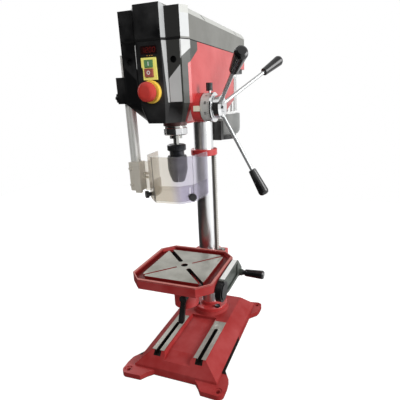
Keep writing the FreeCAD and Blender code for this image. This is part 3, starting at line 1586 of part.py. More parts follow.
# All pieces
PIECES = {
    "base_casting": make_base,
    "column_flange": make_flange,
    "fixings": make_fixings,
    "column_tube": make_column,
    "column_rack": make_rack,
    "rack_collar": make_collar,
    "work_table": make_table,
    "table_carrier": make_carrier,
    "table_lock_lever": make_lock_lever,
    "column_clamp_lever": make_clamp_lever,
    "lift_shaft": make_drive_shaft,
    "table_crank": make_crank,
    "crank_grip": make_grip,
    "head_casting": make_head,
    "front_console": make_console,
    "console_bezels": make_bezels,
    "console_trims": make_trims,
    "belt_cover": make_cover,
    "cover_front": make_cover_front,
    "cover_hinge": make_cover_hinge,
    "quill": make_quill,
    "quill_ring": make_quill_ring,
    "spindle": make_spindle,
    "chuck_body": make_chuck_body,
    "chuck_sleeve": make_chuck_sleeve,
    "chuck_jaw_1": lambda: make_jaw(0),
    "chuck_jaw_2": lambda: make_jaw(1),
    "chuck_jaw_3": lambda: make_jaw(2),
    "feed_shaft": make_feed_shaft,
    "depth_ring": make_ring,
    "depth_ring_screw": make_ring_screw,
    "depth_pointer": make_pointer,
    "feed_hub": make_hub,
    "feed_spokes": make_spokes,
    "feed_knobs": make_knobs,
    "spindle_pulley": make_spindle_pulley,
    "idler_pulley": make_idler,
    "motor_pulley": make_motor_pulley,
    "drive_belts": make_belts,
    "motor_plate": make_motor_plate,
    "motor_body": make_motor,
    "motor_bell": make_motor_bell,
    "motor_vent_cap": make_motor_cap,
    "capacitor_box": make_box,
    "display_window": make_window,
    "switch_plate": make_switch_plate,
    "start_button": make_start,
    "stop_button": make_stop,
    "estop_base": make_estop_base,
    "estop_stem": make_estop_stem,
    "estop_button": make_estop_button,
    "guard_bracket": make_guard_box,
    "guard_sleeve": make_guard_sleeve,
    "guard_height_knob": make_guard_knob,
    "guard_post": make_post,
    "guard_clamp": make_guard_clamp,
    "guard_shell": make_shell,
    "guard_slider": make_slider,
    "guard_screw_left": lambda: make_guard_screw(-1),
    "guard_screw_right": lambda: make_guard_screw(1),
}


def main():
    os.makedirs("parts", exist_ok=True)
    for name, maker in PIECES.items():
        shape = maker()
        shape.exportStep("parts/" + name + ".step")
        print(name, "solids", len(shape.Solids), "valid", shape.isValid(), "volume", round(shape.Volume))


if __name__ == "__main__":
    main()
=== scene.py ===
"""Looks of a benchtop drill press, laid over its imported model: finishes, scales, signs and studio."""
import math

import bpy
from mathutils import Matrix, Vector


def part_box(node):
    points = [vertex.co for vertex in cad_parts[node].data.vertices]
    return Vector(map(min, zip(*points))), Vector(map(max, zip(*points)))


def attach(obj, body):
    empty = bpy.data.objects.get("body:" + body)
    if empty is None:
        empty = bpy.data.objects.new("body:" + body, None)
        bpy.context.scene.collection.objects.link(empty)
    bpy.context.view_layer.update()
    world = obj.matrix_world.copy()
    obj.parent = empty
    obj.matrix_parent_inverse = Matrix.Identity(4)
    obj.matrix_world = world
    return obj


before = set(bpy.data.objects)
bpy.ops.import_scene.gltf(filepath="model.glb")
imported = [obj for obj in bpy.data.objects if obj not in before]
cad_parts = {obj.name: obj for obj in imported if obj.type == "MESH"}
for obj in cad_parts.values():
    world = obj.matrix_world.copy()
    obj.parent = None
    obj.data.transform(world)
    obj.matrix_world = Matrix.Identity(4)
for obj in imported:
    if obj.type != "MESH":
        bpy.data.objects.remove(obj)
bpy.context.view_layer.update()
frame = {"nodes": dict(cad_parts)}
NODES = frame["nodes"]
MM = 0.001

bl_info = {
    "name": "Drill Press Looks",
    "version": (1, 0, 0),
    "blender": (4, 5, 0),
    "location": "View3D > Sidebar > Drill Press",
    "description": "Finishes, scales and signs of a benchtop drill press",
    "category": "Object",
}

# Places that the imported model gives, in metres.
SPINDLE = Vector((0.0, -0.087, 0.0))
FRONT_Y = -0.192                    # face of the console
TABLE_TOP = 0.309                   # ground face of the table
DECK = 0.058                        # top of the base
RAIL_X = 0.0665                     # middle of a slot in the base
CRANK_Y, CRANK_Z = -0.143, 0.276    # axis of the lift crank
COVER_LOW = 0.8944                  # lower edge of the cover's painted front
STRIPE_IN, STRIPE_OUT = 0.0313, 0.0388   # edges of the light stripe on the right
LOWEST = -1.0                       # a lower edge that every place is above

# The feed and its depth ring.
FULL_DEPTH = 80                     # travel of the quill, in millimetres
MARK_STEP, NUMBER_STEP = 2, 10      # millimetres between marks and between numbers
FULL_FEED = math.radians(327.4)     # turn of the feed over that travel
FIRST_MARK = math.radians(38.0)     # place of the zero mark on the ring


def shade(red, green, blue):
    """A screen colour, 0 to 255, as the linear values that shaders take."""
    out = []
    for value in (red, green, blue):
        value /= 255.0
        out.append(value / 12.92 if value <= 0.04045 else ((value + 0.055) / 1.055) ** 2.4)
    return tuple(out)


def colour(name, default, note):
    return bpy.props.FloatVectorProperty(name=name, description=note, default=default, size=3,
                                         min=0.0, max=1.0, subtype="COLOR")


def length(name, default, note):
    return bpy.props.FloatProperty(name=name, description=note, default=default, min=0.0,
                                   precision=5, unit="LENGTH", subtype="DISTANCE")


class PressColours(bpy.types.PropertyGroup):
    """Colours of the drill press."""
    red: colour("Red paint", shade(190, 46, 46), "Gloss paint of the head and carrier")
    # A darker copy of the head's red: painted shade for the base and the table, which get less light.
    low_red: colour("Low red", shade(160, 39, 38), "Paint of the base and the table")
    iron: colour("Ground iron", shade(160, 159, 149), "Machined faces of the table and base")
    steel: colour("Steel", shade(176, 176, 172), "Turned steel parts")
    chrome: colour("Chrome", shade(226, 227, 228), "Plated column and hub")
    black_steel: colour("Black steel", shade(34, 36, 40), "Blackened chuck, bolts and motor plate")
    cover: colour("Cover grey", shade(112, 112, 107), "Paint of the belt cover")
    black: colour("Black plastic", shade(15, 15, 16), "Console, knobs and cover front")
    frame: colour("Console frame", shade(64, 66, 62), "Grey plastic round the console flanks")
    panel: colour("Console panel", shade(192, 193, 192), "Light plastic panels of the console")
    stripe: colour("Stripe", shade(182, 184, 184), "Light stripes of the belt cover")
    yellow: colour("Yellow plastic", shade(255, 245, 130), "Switch plate")
    amber: colour("Warm yellow plastic", shade(250, 206, 74), "Disc under the emergency stop")
    green: colour("Green plastic", shade(92, 140, 92), "Start button")
    stop: colour("Stop red", shade(190, 50, 42), "Mushroom head")
    washed: colour("Washed red", shade(164, 84, 76), "Stop button")
    cream: colour("Cream plastic", shade(232, 222, 200), "Depth pointer")
    rubber: colour("Rubber", shade(22, 22, 22), "Belts")
    clear: colour("Clear plastic", shade(230, 225, 216), "Chuck guard")
    digit: colour("Display red", shade(92, 20, 18), "Lit bars of the speed display")


class PressSizes(bpy.types.PropertyGroup):
    """Sizes of the pieces that the looks add."""
    digit_height: length("Digit height", 9.6 * MM, "Height of a display digit")
    digit_width: length("Digit width", 5.4 * MM, "Width of a display digit")
    digit_bar: length("Digit bar", 1.1 * MM, "Width of one bar of a digit")
    mark_width: length("Scale mark width", 0.35 * MM, "Width of a mark on the depth ring")
    mark_length: length("Scale mark length", 4.0 * MM, "Length of a ten millimetre mark")
    number_height: length("Scale number height", 5.2 * MM, "Height of the numbers on the depth ring")
    lamp_width: length("Lamp width", 2.2 * MM, "Width of a small lamp under the display")
    lamp_drop: length("Lamp drop", 3.0 * MM, "Distance of the small lamps under the display window")
    sign_bar: length("Sign bar", 1.8 * MM, "Width of the line of the on and off signs")
    sign_height: length("Sign height", 8.0 * MM, "Height of the on and off signs")


class PressStudio(bpy.types.PropertyGroup):
    """Camera, lamps and backdrop."""
    lens: bpy.props.FloatProperty(name="Lens", description="Focal length on a 36 mm sensor",
                                  default=32.36, min=10.0, unit="CAMERA")
    azimuth: bpy.props.FloatProperty(name="Azimuth", description="Turn of the camera about the upright",
                                     default=math.radians(20.58), subtype="ANGLE")
    elevation: bpy.props.FloatProperty(name="Elevation", description="Tilt of the camera",
                                       default=math.radians(-17.89), subtype="ANGLE")
    roll: bpy.props.FloatProperty(name="Roll", description="Turn of the camera about its own axis",
                                  default=math.radians(-2.10), subtype="ANGLE")
    camera_place: bpy.props.FloatVectorProperty(name="Camera place", description="Where the camera stands",
                                                default=(0.4219, -0.9405, 0.7716), subtype="TRANSLATION",
                                                unit="LENGTH")
    shift_x: bpy.props.FloatProperty(name="Shift X", description="Sideways shift of the frame",
                                     default=-0.0384)
    shift_y: bpy.props.FloatProperty(name="Shift Y", description="Upright shift of the frame",
                                     default=0.0310)
    key_power: bpy.props.FloatProperty(name="Key power", description="Lamp on the right", default=82.0,
                                       min=0.0, unit="POWER")
    front_power: bpy.props.FloatProperty(name="Front power", description="Small lamp over the camera",
                                         default=11.0, min=0.0, unit="POWER")
    back_power: bpy.props.FloatProperty(name="Back power", description="Lamp behind on the left",
                                        default=34.0, min=0.0, unit="POWER")
    fill_power: bpy.props.FloatProperty(name="Fill power", description="Lamp on the left", default=4.0,
                                        min=0.0, unit="POWER")
    room_light: bpy.props.FloatProperty(name="Room light", description="Even light from all round",
                                        default=0.2, min=0.0)
    card_tone: bpy.props.FloatProperty(name="Card tone", description="Tone of the dark cards in the mirrors",
                                       default=0.016, min=0.0)


# Shader nodes


class Wire:
    """A shader socket in an expression; each operation adds the Math node that does it."""

    def __init__(self, paint, socket):
        self.paint = paint
        self.socket = socket

    def math(self, operation, *values):
        return self.paint.node("Math", {"operation": operation}, dict(enumerate(values)))

    def __add__(self, other):
        return self.math("ADD", self, other)

    def __radd__(self, other):
        return self.math("ADD", other, self)

    def __sub__(self, other):
        return self.math("SUBTRACT", self, other)

    def __rsub__(self, other):
        return self.math("SUBTRACT", other, self)

    def __mul__(self, other):
        return self.math("MULTIPLY", self, other)

    def __rmul__(self, other):
        return self.math("MULTIPLY", other, self)

    def __truediv__(self, other):
        return self.math("DIVIDE", self, other)

    def __abs__(self):
        return self.math("ABSOLUTE", self)

    def __pow__(self, other):
        return self.math("POWER", self, other)

    def most(self, other):
        return self.math("MAXIMUM", self, other)

    def kept(self):
        """The value held between 0 and 1."""
        return self.paint.node("Clamp", {}, {0: self})

    def past(self, edge, soft=0.0003):
        """0 below the edge and 1 above it, with a soft change."""
        return ((self - edge) / soft + 0.5).kept()

    def within(self, low, high, soft=0.0003):
        return self.past(low, soft) * (1 - self.past(high, soft))


class Paint:
    """A material, the nodes that make it, and what its surface is so far."""

    def __init__(self, name, tone, rough=0.4, metal=0.0):
        self.material = bpy.data.materials.new(name)
        self.material.use_nodes = True
        self.tree = self.material.node_tree
        self.surface = self.tree.nodes["Principled BSDF"]
        self.place = self.node("TexCoord", {}, {}, "Object")
        self.x = self.node("SeparateXYZ", {}, {0: self.place}, 0)
        self.y = Wire(self, self.x.socket.node.outputs[1])
        self.z = Wire(self, self.x.socket.node.outputs[2])
        self.tone, self.rough, self.metal, self.height = tone, rough, metal, None

    def node(self, kind, settings, sockets, out=0):
        """Adds a node: its settings first, then the values or links of its sockets."""
        node = self.tree.nodes.new("ShaderNode" + kind)
        for key, value in settings.items():
            setattr(node, key, value)
        for key, value in sockets.items():
            self.feed(node.inputs[key], value)
        return Wire(self, node.outputs[out])

    def feed(self, socket, value):
        if isinstance(value, Wire):
            self.tree.links.new(value.socket, socket)
        elif socket.type == "RGBA" and len(value) == 3:
            socket.default_value = (*value, 1.0)
        else:
            socket.default_value = value

    def noise(self, scale, detail=3.0, rough=0.55, stretch=None):
        place = self.place
        if stretch:
            place = self.node("Mapping", {}, {"Vector": place, "Scale": stretch})
        sockets = {"Vector": place, "Scale": scale, "Detail": detail, "Roughness": rough}
        return self.node("TexNoise", {}, sockets)

    def cells(self, scale):
        return self.node("TexVoronoi", {}, {"Vector": self.place, "Scale": scale})

    def mixed(self, share, first, second):
        return self.node("Mix", {"data_type": "RGBA"}, {0: share, 6: first, 7: second}, 2)

    def tint(self, share, second):
        """Turns the colour towards another by a share."""
        self.tone = self.mixed(share, self.tone, second)

    def raise_by(self, height):
        self.height = height if self.height is None else self.height + height

    def over(self, share, tone, rough, metal, height=None):
        """Lays another surface over part of this one."""
        self.tone = self.mixed(share, self.tone, tone)
        self.rough = share * rough + (1 - share) * self.rough
        self.metal = share * metal + (1 - share) * self.metal
        if height is not None or self.height is not None:
            under = 0.0 if self.height is None else self.height
            self.height = share * (0.0 if height is None else height) + (1 - share) * under

    def close(self, depth=0.0002, strength=0.6, **constants):
        """Joins the surface to the shader; the height is in shares of the depth."""
        self.feed(self.surface.inputs["Base Color"], self.tone)
        self.feed(self.surface.inputs["Roughness"], self.rough)
        self.feed(self.surface.inputs["Metallic"], self.metal)
        if self.height is not None:
            bump = self.node("Bump", {}, {"Strength": strength, "Distance": depth, "Height": self.height})
            self.feed(self.surface.inputs["Normal"], bump)
        for name, value in {"Specular_IOR_Level": 0.3, **constants}.items():
            self.feed(self.surface.inputs[name.replace("_", " ")], value)
        return self.material


def tones():
    return bpy.context.scene.press_colours


def sizes():
    return bpy.context.scene.press_sizes


def darker(tone, share):
    return tuple(value * share for value in tone)


def lighter(tone, share):
    return tuple(value + (1.0 - value) * share for value in tone)


def gloss_paint(name, tone):
    """Gloss paint over cast iron: slight cloudiness, cast waviness and fine peel."""
    paint = Paint(name, darker(tone, 0.86))
    cloud = paint.noise(14.0, 3.0)
    paint.tone = paint.mixed(((cloud - 0.3) * 2.4).kept(), darker(tone, 0.84), lighter(tone, 0.035))
    speck = paint.cells(420.0)
    paint.tint((0.055 - speck).past(0.0, 0.05) * 0.25, darker(tone, 0.5))
    paint.rough = 0.26 + paint.noise(46.0, 4.0) * 0.16
    paint.raise_by(paint.noise(95.0, 4.0) * 0.9 + paint.noise(620.0, 2.0) * 0.25)
    return paint


def dull(paint):
    """Closes the paint of the low castings, whose gloss is weaker than the head's."""
    return paint.close(0.0003, 0.5, Specular_IOR_Level=0.1, Coat_Weight=0.1, Coat_Roughness=0.3)


def ground_iron(paint):
    """Tone, roughness and height of a ground cast iron face."""
    lines = paint.noise(30.0, 3.0, 0.6, (1.0, 60.0, 1.0))
    cloud = paint.noise(11.0, 4.0)
    tone = paint.mixed(((cloud - 0.36) * 3.2).kept(), darker(tones().iron, 0.66), lighter(tones().iron, 0.14))
    tone = paint.mixed((lines - 0.42).past(0.0, 0.3) * 0.35, tone, darker(tones().iron, 0.62))
    return tone, 0.3 + lines * 0.22, 0.55, lines * 0.35


def red_base():
    """Red base: ground strips round its slots, bare sole, and painted shade in its slots and low on its sides
    between the feet.
    """
    paint = gloss_paint("red_base", tones().low_red)
    side_x = abs(paint.x)
    across = abs(side_x - RAIL_X)
    strip_half, strip_low, strip_span = 0.0192, 0.0594, (-0.35, 0.02)
    on_rail = across.within(LOWEST, strip_half) * paint.z.past(strip_low) * paint.y.within(*strip_span)
    paint.over(on_rail, *ground_iron(paint))
    slope_top, slope_run = -0.171, 33.0 / 36.0
    slope = slope_top - (DECK - paint.z) * slope_run
    # Painted shade inside the slots.
    slot_half, slot_rise, slot_reach = 0.0111, (0.0465, 0.0592), (0.003, 0.19)
    slot_shade = across.within(LOWEST, slot_half) * paint.z.within(*slot_rise)
    slot_shade = slot_shade * (paint.y - slope).within(*slot_reach)
    paint.over(slot_shade, shade(24, 20, 18), 0.7, 0.0)
    sole = 0.0012
    paint.over(1 - paint.z.past(sole), shade(70, 66, 62), 0.6, 0.3)
    edge_x, edge_top, edge_span, soft = 0.1285, 0.0205, (-0.156, 0.015), 0.004
    in_shade = side_x.past(edge_x) * (1 - paint.z.past(edge_top)) * paint.y.within(*edge_span, soft)
    paint.over(in_shade, shade(26, 16, 15), 0.7, 0.0)
    return dull(paint)


def red_table():
    """Red table: ground face; painted shade in the groove round that face, in the slots and in the bore; a
    painted highlight on the rim.
    """
    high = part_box("work_table")[1]
    paint = gloss_paint("red_table", tones().low_red)
    face, soft = 0.0003, 0.0001
    paint.over(paint.z.within(TABLE_TOP - face, TABLE_TOP + face, soft), *ground_iron(paint))
    side, front = abs(paint.x), abs(paint.y - SPINDLE.y)
    rim_side, rim_corner = 0.1133, 0.196
    within_rim = (1 - side.most(front).past(rim_side)) * (1 - (side + front).past(rim_corner))
    # Painted shade in the groove round the ground face, darker further down.
    gutter_low, gutter_high, face_edge = 0.2995, 0.3055, TABLE_TOP - 0.0004
    for low_z, high_z, share in ((gutter_high, face_edge, 0.6), (gutter_low, gutter_high, 0.4)):
        gutter_shade = within_rim * paint.z.within(low_z, high_z)
        paint.over(gutter_shade, darker(tones().low_red, share), 0.45, 0.0)
    across = (paint.y - SPINDLE.y + paint.x) / 2 ** 0.5
    along = (paint.y - SPINDLE.y - paint.x) / 2 ** 0.5
    reach = (across * across + along * along) ** 0.5
    # Painted shade inside the through slots and the bore.
    inside = 1 - paint.z.past(TABLE_TOP - 0.0008)
    slot_half, slot_span, bore_radius = 0.0072, (0.024, 0.123), 0.0108
    slot_shade = abs(across).within(LOWEST, slot_half) * abs(along).within(*slot_span) * inside
    bore_shade = reach.within(LOWEST, bore_radius) * inside
    paint.over(slot_shade.most(bore_shade), shade(22, 18, 17), 0.7, 0.0)
    # Painted highlight along the top of the rim.
    rim = paint.z.past(high.z - 0.0004, 0.0002)
    paint.over(rim, shade(180, 108, 100), 0.34, 0.0)
    return dull(paint)


def red_casting():
    """Head and carrier; the ring under the head, round the quill, is dark."""
    paint = gloss_paint("red_casting", tones().red)
    reach = (paint.x ** 2 + (paint.y - SPINDLE.y) ** 2) ** 0.5
    ring_radius, ring_rise = 0.0312, (0.7030, 0.7162)
    ring = (1 - reach.past(ring_radius)) * paint.z.within(*ring_rise)
    paint.over(ring, shade(84, 54, 52), 0.45, 0.2)
    return paint.close(0.0003, 0.5, Coat_Weight=0.35, Coat_Roughness=0.3)


def cover_paint():
    """Grey cover: light front corners, a painted highlight on its bevelled top edges with two dark notches,
    dark seam.
    """
    paint = Paint("cover_paint", tones().cover)
    paint.tone = paint.mixed(((paint.noise(9.0) - 0.35) * 2.2).kept(), darker(tones().cover, 0.9),
                             lighter(tones().cover, 0.05))
    paint.rough = 0.36 + paint.noise(60.0) * 0.14
    paint.raise_by(paint.noise(700.0, 2.0) * 0.5 + paint.noise(60.0, 2.0) * 0.5)
    corner_x, corner_y = 0.0738, -0.1648
    corner = abs(paint.x).past(corner_x) * (1 - paint.y.past(corner_y)) * paint.z.past(COVER_LOW)
    paint.over(corner, tones().stripe, 0.36, 0.0)
    # Painted highlight on the top bevels of both sides.
    bevel_x, bevel_low = 0.0752, 0.9394
    bevel_highlight = abs(paint.x).past(bevel_x) * paint.z.past(bevel_low)
    paint.over(bevel_highlight, shade(176, 177, 172), 0.34, 0.0)
    notch_z, notch_lean, notch_rise = 0.9465, 0.7, (0.9415, 0.9520)
    for y, wide in ((-0.067, 0.0035), (0.19, 0.003)):
        across = paint.y - y + (paint.z - notch_z) * notch_lean
        notch = across.within(-wide, wide) * paint.z.within(*notch_rise)
        paint.over(notch * paint.x.past(bevel_x), shade(34, 34, 32), 0.5, 0.0)
    seam = 0.8910
    paint.over(1 - paint.z.past(seam), shade(16, 16, 16), 0.6, 0.0)
    return paint.close(0.00012, 0.5)


def plastic(name, tone, rough=0.38, grain=0.5):
    """Moulded plastic with a fine spark-eroded grain and faint handling marks."""
    paint = Paint(name, tone)
    cloud = ((paint.noise(18.0) - 0.35) * 2.2).kept()
    paint.tone = paint.mixed(cloud, darker(tone, 0.88), lighter(tone, 0.03))
    paint.rough = rough - 0.06 + paint.noise(35.0, 4.0) * 0.16
    paint.raise_by(paint.noise(1500.0, 2.0) * grain + paint.noise(120.0, 2.0) * 0.2)
    return paint


def chrome(name, tone, rough=0.07, lines=0.0):
    """Plated or polished steel with faint smears, and turning lines where asked."""
    paint = Paint(name, tone, metal=1.0)
    paint.tone = paint.mixed(((paint.noise(25.0) - 0.4) * 2.0).kept(), darker(tone, 0.9), tone)
    paint.rough = rough + paint.noise(40.0, 5.0) * 0.1
    if lines:
        paint.raise_by(paint.noise(12.0, 2.0, 0.5, (2.0, 2.0, 160.0)) * lines)
    else:
        paint.raise_by(paint.noise(18.0, 2.0) * 0.3)
    return paint


def part_mirror(name, tone, rough, metal):
    """Plated steel whose mirror is dulled, so that it never goes all black."""
    paint = chrome(name, tone, rough)
    paint.metal = metal
    return paint


def black_oxide(name, tone):
    """Blackened steel, a little patchy."""
    paint = Paint(name, tone, metal=0.75)
    patch = ((paint.noise(60.0) - 0.4) * 2.5).kept()
    paint.tone = paint.mixed(patch, darker(tone, 0.7), lighter(tone, 0.06))
    paint.rough = 0.29 + paint.noise(90.0, 4.0) * 0.2
    paint.raise_by(paint.noise(500.0, 3.0) * 0.5)
    return paint


def satin_metal(name, tone, rough, stretch=(1.0, 1.0, 90.0)):
    """Metal with fine lines along its grain."""
    paint = Paint(name, tone, metal=0.9)
    lines = paint.noise(22.0, 3.0, 0.6, stretch)
    paint.tone = paint.mixed(((lines - 0.35) * 2.0).kept(), darker(tone, 0.82), lighter(tone, 0.08))
    paint.rough = rough + lines * 0.16
    paint.raise_by(lines * 0.4)
    return paint


def anodised(name, tone, metal, rough):
    """Drawn and anodised aluminium: matt, with long faint drawing lines."""
    paint = satin_metal(name, tone, rough)
    paint.metal = metal
    return paint


def clear_guard():
    """Clear plastic, slightly smeared, with a painted lilac reflection on its right half."""
    paint = Paint("clear_guard", tones().clear)
    smear = paint.noise(30.0, 4.0, 0.6, (1.0, 1.0, 0.4))
    paint.rough = 0.04 + smear * 0.12
    paint.tone = paint.mixed(((smear - 0.4) * 2.0).kept(), darker(tones().clear, 0.93), tones().clear)
    # Painted reflection: a lilac tint on the right half.
    reflection_from, reflection_soft = 0.026, 0.03
    paint.tint(paint.x.past(reflection_from, reflection_soft) * 0.7, shade(200, 197, 218))
    return paint.close(Transmission_Weight=0.92, IOR=1.25)


def display_glass():
    paint = Paint("display_glass", shade(30, 10, 10))
    paint.tone = paint.mixed(((paint.noise(60.0) - 0.4) * 2.0).kept(), shade(20, 8, 8), shade(40, 13, 12))
    paint.rough = 0.1 + paint.noise(50.0) * 0.08
    return paint.close(Coat_Weight=0.8, Coat_Roughness=0.05)


def lit_bar():
    paint = Paint("lit_bar", tones().digit, 0.4)
    paint.tone = paint.mixed(paint.noise(900.0), darker(tones().digit, 0.8), tones().digit)
    paint.feed(paint.surface.inputs["Emission Color"], paint.tone)
    return paint.close(Emission_Strength=0.3)


def dim_bar():
    paint = Paint("dim_bar", shade(60, 16, 14), 0.3)
    paint.tone = paint.mixed(paint.noise(900.0), shade(44, 13, 12), shade(62, 18, 15))
    return paint.close()


def ring_finish():
    """Matt grey ring with a bright turned rim at its outer edge."""
    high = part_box("depth_ring")[1]
    paint = satin_metal("ring_finish", shade(204, 203, 198), 0.36, (120.0, 1.0, 1.0))
    paint.metal = 0.25
    rim_width = 0.0042
    paint.over(paint.x.past(high.x - rim_width), tones().chrome, 0.14, 1.0)
    return paint.close(0.0001, 0.5)


def belt_finish():
    """Rubber with the weave of its fabric."""
    paint = Paint("belt_finish", tones().rubber)
    thread = paint.noise(900.0, 2.0, 0.5, (1.0, 1.0, 3.0))
    paint.tone = paint.mixed(thread, darker(tones().rubber, 0.7), lighter(tones().rubber, 0.06))
    paint.rough = 0.6 + thread * 0.2
    paint.raise_by(thread)
    return paint.close(0.0002, 0.7)


def crank_finish():
    """Dark arm with a painted highlight along its upper edge, on a black hub disc."""
    paint = satin_metal("crank_finish", shade(92, 98, 92), 0.4, (1.0, 3.0, 3.0))
    back, up = paint.y - CRANK_Y, paint.z - CRANK_Z
    turn = math.radians(5.5)
    along = back * math.cos(turn) - up * math.sin(turn)
    rise = back * math.sin(turn) + up * math.cos(turn)
    # Painted highlight: the glint on the arm's upper edge.
    edge_rise, edge_taper, edge_length, edge_width = 0.0312, 0.125, (0.005, 0.135), (0.1248, 0.139)
    top = (rise - along * edge_taper).past(edge_rise) * along.within(*edge_length)
    paint.over(top * paint.x.within(*edge_width), shade(232, 233, 230), 0.3, 0.3)
    reach = (back * back + up * up) ** 0.5
    hub_radius, hub_face = 0.0284, 0.1225
    paint.over((1 - reach.past(hub_radius)) * paint.x.past(hub_face), tones().black, 0.4, 0.0)
    return paint.close(0.0001, 0.5)


def rack_finish():
    """Bright steel teeth, with painted shade on the inner half next to the column."""
    paint = chrome("rack_finish", shade(214, 212, 206), 0.34, 0.3)
    paint.metal = 0.2
    # Painted shade on the rack's inner half, by the column.
    shade_edge, soft = 0.0350, 0.0008
    paint.over(1 - paint.x.past(shade_edge, soft), shade(96, 94, 90), 0.5, 0.3)
    return paint.close(0.00006, 0.4)


def front_finish():
    """Black cover front, with painted light on its right flank and a light stripe between."""
    paint = plastic("front_finish", tones().black)
    # Painted light on the right flank, the side that faces the key lamp.
    paint.over(paint.x.past(STRIPE_OUT), shade(44, 44, 43), 0.4, 0.0)
    stripe = paint.x.within(STRIPE_IN, STRIPE_OUT) * paint.z.past(COVER_LOW)
    paint.over(stripe, tones().stripe, 0.36, 0.0)
    paint.over(1 - paint.z.past(COVER_LOW), shade(16, 16, 16), 0.6, 0.0)
    return paint.close(0.00006, 0.5)


def flank_finish(name, tone, rough):
    """Plastic of a console flank: toned on the right; painted black on the left as shade, with a thin painted
    highlight line.
    """
    paint = plastic(name, tone, rough)
    line_width, line_rise = (-0.0365, -0.0308), (0.835, 0.883)
    line = paint.x.within(*line_width) * paint.z.within(*line_rise)
    # Painted shade: the left side goes black; the thin line on it is a painted highlight.
    paint.over((1 - paint.x.past(0.0)) * (1 - line), tones().black, 0.42, 0.0)
    paint.over(line, shade(248, 248, 246), 0.4, 0.0)
    return paint.close(0.00006, 0.5)


def console_finish():
    """Black plastic, with painted light on the right flank and painted shade in the screw wells."""
    paint = plastic("console_finish", tones().black)
    flank_low, well_back = 0.763, -0.155
    # Painted light on the right flank, the side that faces the key lamp.
    paint.over(paint.x.past(STRIPE_OUT) * paint.z.past(flank_low), shade(54, 54, 52), 0.4, 0.0)
    # Painted shade in the screw wells.
    for x, z, radius in ((0.054, 0.8505, 0.0072), (0.0555, 0.7395, 0.0062)):
        away = ((paint.x - x) ** 2 + (paint.z - z) ** 2) ** 0.5
        well_shade = (1 - away.past(radius)) * (1 - paint.y.past(well_back))
        paint.over(well_shade, shade(8, 8, 8), 0.5, 0.0)
    return paint.close(0.00006, 0.5)


def ring_screw_finish():
    """Black knob on a plated stem."""
    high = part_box("depth_ring_screw")[1]
    paint = plastic("ring_screw_finish", tones().black, 0.3)
    knob_height = 0.0178
    paint.over(1 - paint.z.past(high.z - knob_height), tones().chrome, 0.12, 1.0)
    return paint.close(0.00006, 0.4)


def moulded(name, tone, rough, grain, **constants):
    """A finish of one plain plastic, made when asked for; the tone is a colour or a colour's name."""
    def make():
        value = getattr(tones(), tone) if isinstance(tone, str) else tone
        return plastic(name, value, rough, grain).close(0.00006, 0.4, **constants)
    return make


FINISHES = {
    "red_base": red_base,
    "red_table": red_table,
    "red_casting": red_casting,
    # The head's red a little darker: painted shade for the flange under the table.
    "flange_paint": lambda: gloss_paint("flange_paint", darker(tones().red, 0.9)).close(
        0.0004, 0.7, Coat_Weight=0.3, Coat_Roughness=0.15),
    "cover_paint": cover_paint,
    "front": front_finish,
    "console": console_finish,
    "frame_plastic": lambda: flank_finish("frame_plastic", tones().frame, 0.42),
    "panel_plastic": lambda: flank_finish("panel_plastic", tones().panel, 0.36),
    "black_plastic": lambda: plastic("black_plastic", tones().black).close(0.00006, 0.5),
    "black_gloss": moulded("black_gloss", shade(16, 15, 16), 0.2, 0.1, Specular_IOR_Level=0.4),
    "lever_black": moulded("lever_black", shade(12, 11, 11), 0.3, 0.1, Specular_IOR_Level=0.15),
    "yellow_plastic": moulded("yellow_plastic", "yellow", 0.34, 0.3),
    "warm_plastic": moulded("warm_plastic", "amber", 0.34, 0.3),
    "green_plastic": moulded("green_plastic", "green", 0.3, 0.2),
    "washed_plastic": moulded("washed_plastic", "washed", 0.3, 0.2),
    "stop_plastic": moulded("stop_plastic", "stop", 0.28, 0.2),
    "cream_plastic": moulded("cream_plastic", "cream", 0.4, 0.2),
    "white_print": moulded("white_print", shade(236, 238, 238), 0.4, 0.1),
    "black_print": moulded("black_print", shade(24, 24, 24), 0.45, 0.1),
    "amber": lambda: plastic("amber", shade(206, 142, 58), 0.3, 0.1).close(0.00006, 0.3),
    "display_glass": display_glass,
    "lit_bar": lit_bar,
    "dim_bar": dim_bar,
    "chrome": lambda: chrome("chrome", tones().chrome).close(0.0001, 0.3),
    "spoke": lambda: part_mirror("spoke", shade(176, 178, 178), 0.22, 0.55).close(0.0001, 0.3),
    "column_chrome": lambda: chrome("column_chrome", tones().chrome, 0.24, 0.5).close(0.00005, 0.3),
    "rack": rack_finish,
    "turned_steel": lambda: chrome("turned_steel", tones().steel, 0.16, 0.5).close(0.00006, 0.4),
    "black_oxide": lambda: black_oxide("black_oxide", tones().black_steel).close(0.0001, 0.4),
    "cast_aluminium": lambda: satin_metal("cast_aluminium", shade(168, 170, 168), 0.4, (1.0, 1.0, 1.0)).close(
        0.0002, 0.6),
    "clamp_metal": lambda: anodised("clamp_metal", shade(207, 201, 188), 0.0, 0.4).close(0.00006, 0.5),
    "post_metal": lambda: anodised("post_metal", shade(226, 226, 222), 0.15, 0.34).close(0.00006, 0.5),
    "motor_paint": lambda: gloss_paint("motor_paint", shade(230, 231, 230)).close(0.0002, 0.4),
    "bell_paint": lambda: gloss_paint("bell_paint", shade(120, 122, 120)).close(0.0003, 0.5),
    "ring": ring_finish,
    "ring_screw": ring_screw_finish,
    "crank": crank_finish,
    "belt": belt_finish,
    "clear": clear_guard,
}
MADE = {}


def finish(name):
    """The material of that name, made once."""
    if name not in MADE:
        MADE[name] = FINISHES[name]()
    return MADE[name]


def dress(name, *nodes):
    """Gives CAD nodes a finish."""
    for node in nodes:
        slots = NODES[node].data.materials
        if not len(slots):
            slots.append(finish(name))
        for i in range(len(slots)):
            slots[i] = finish(name)


# Modelling


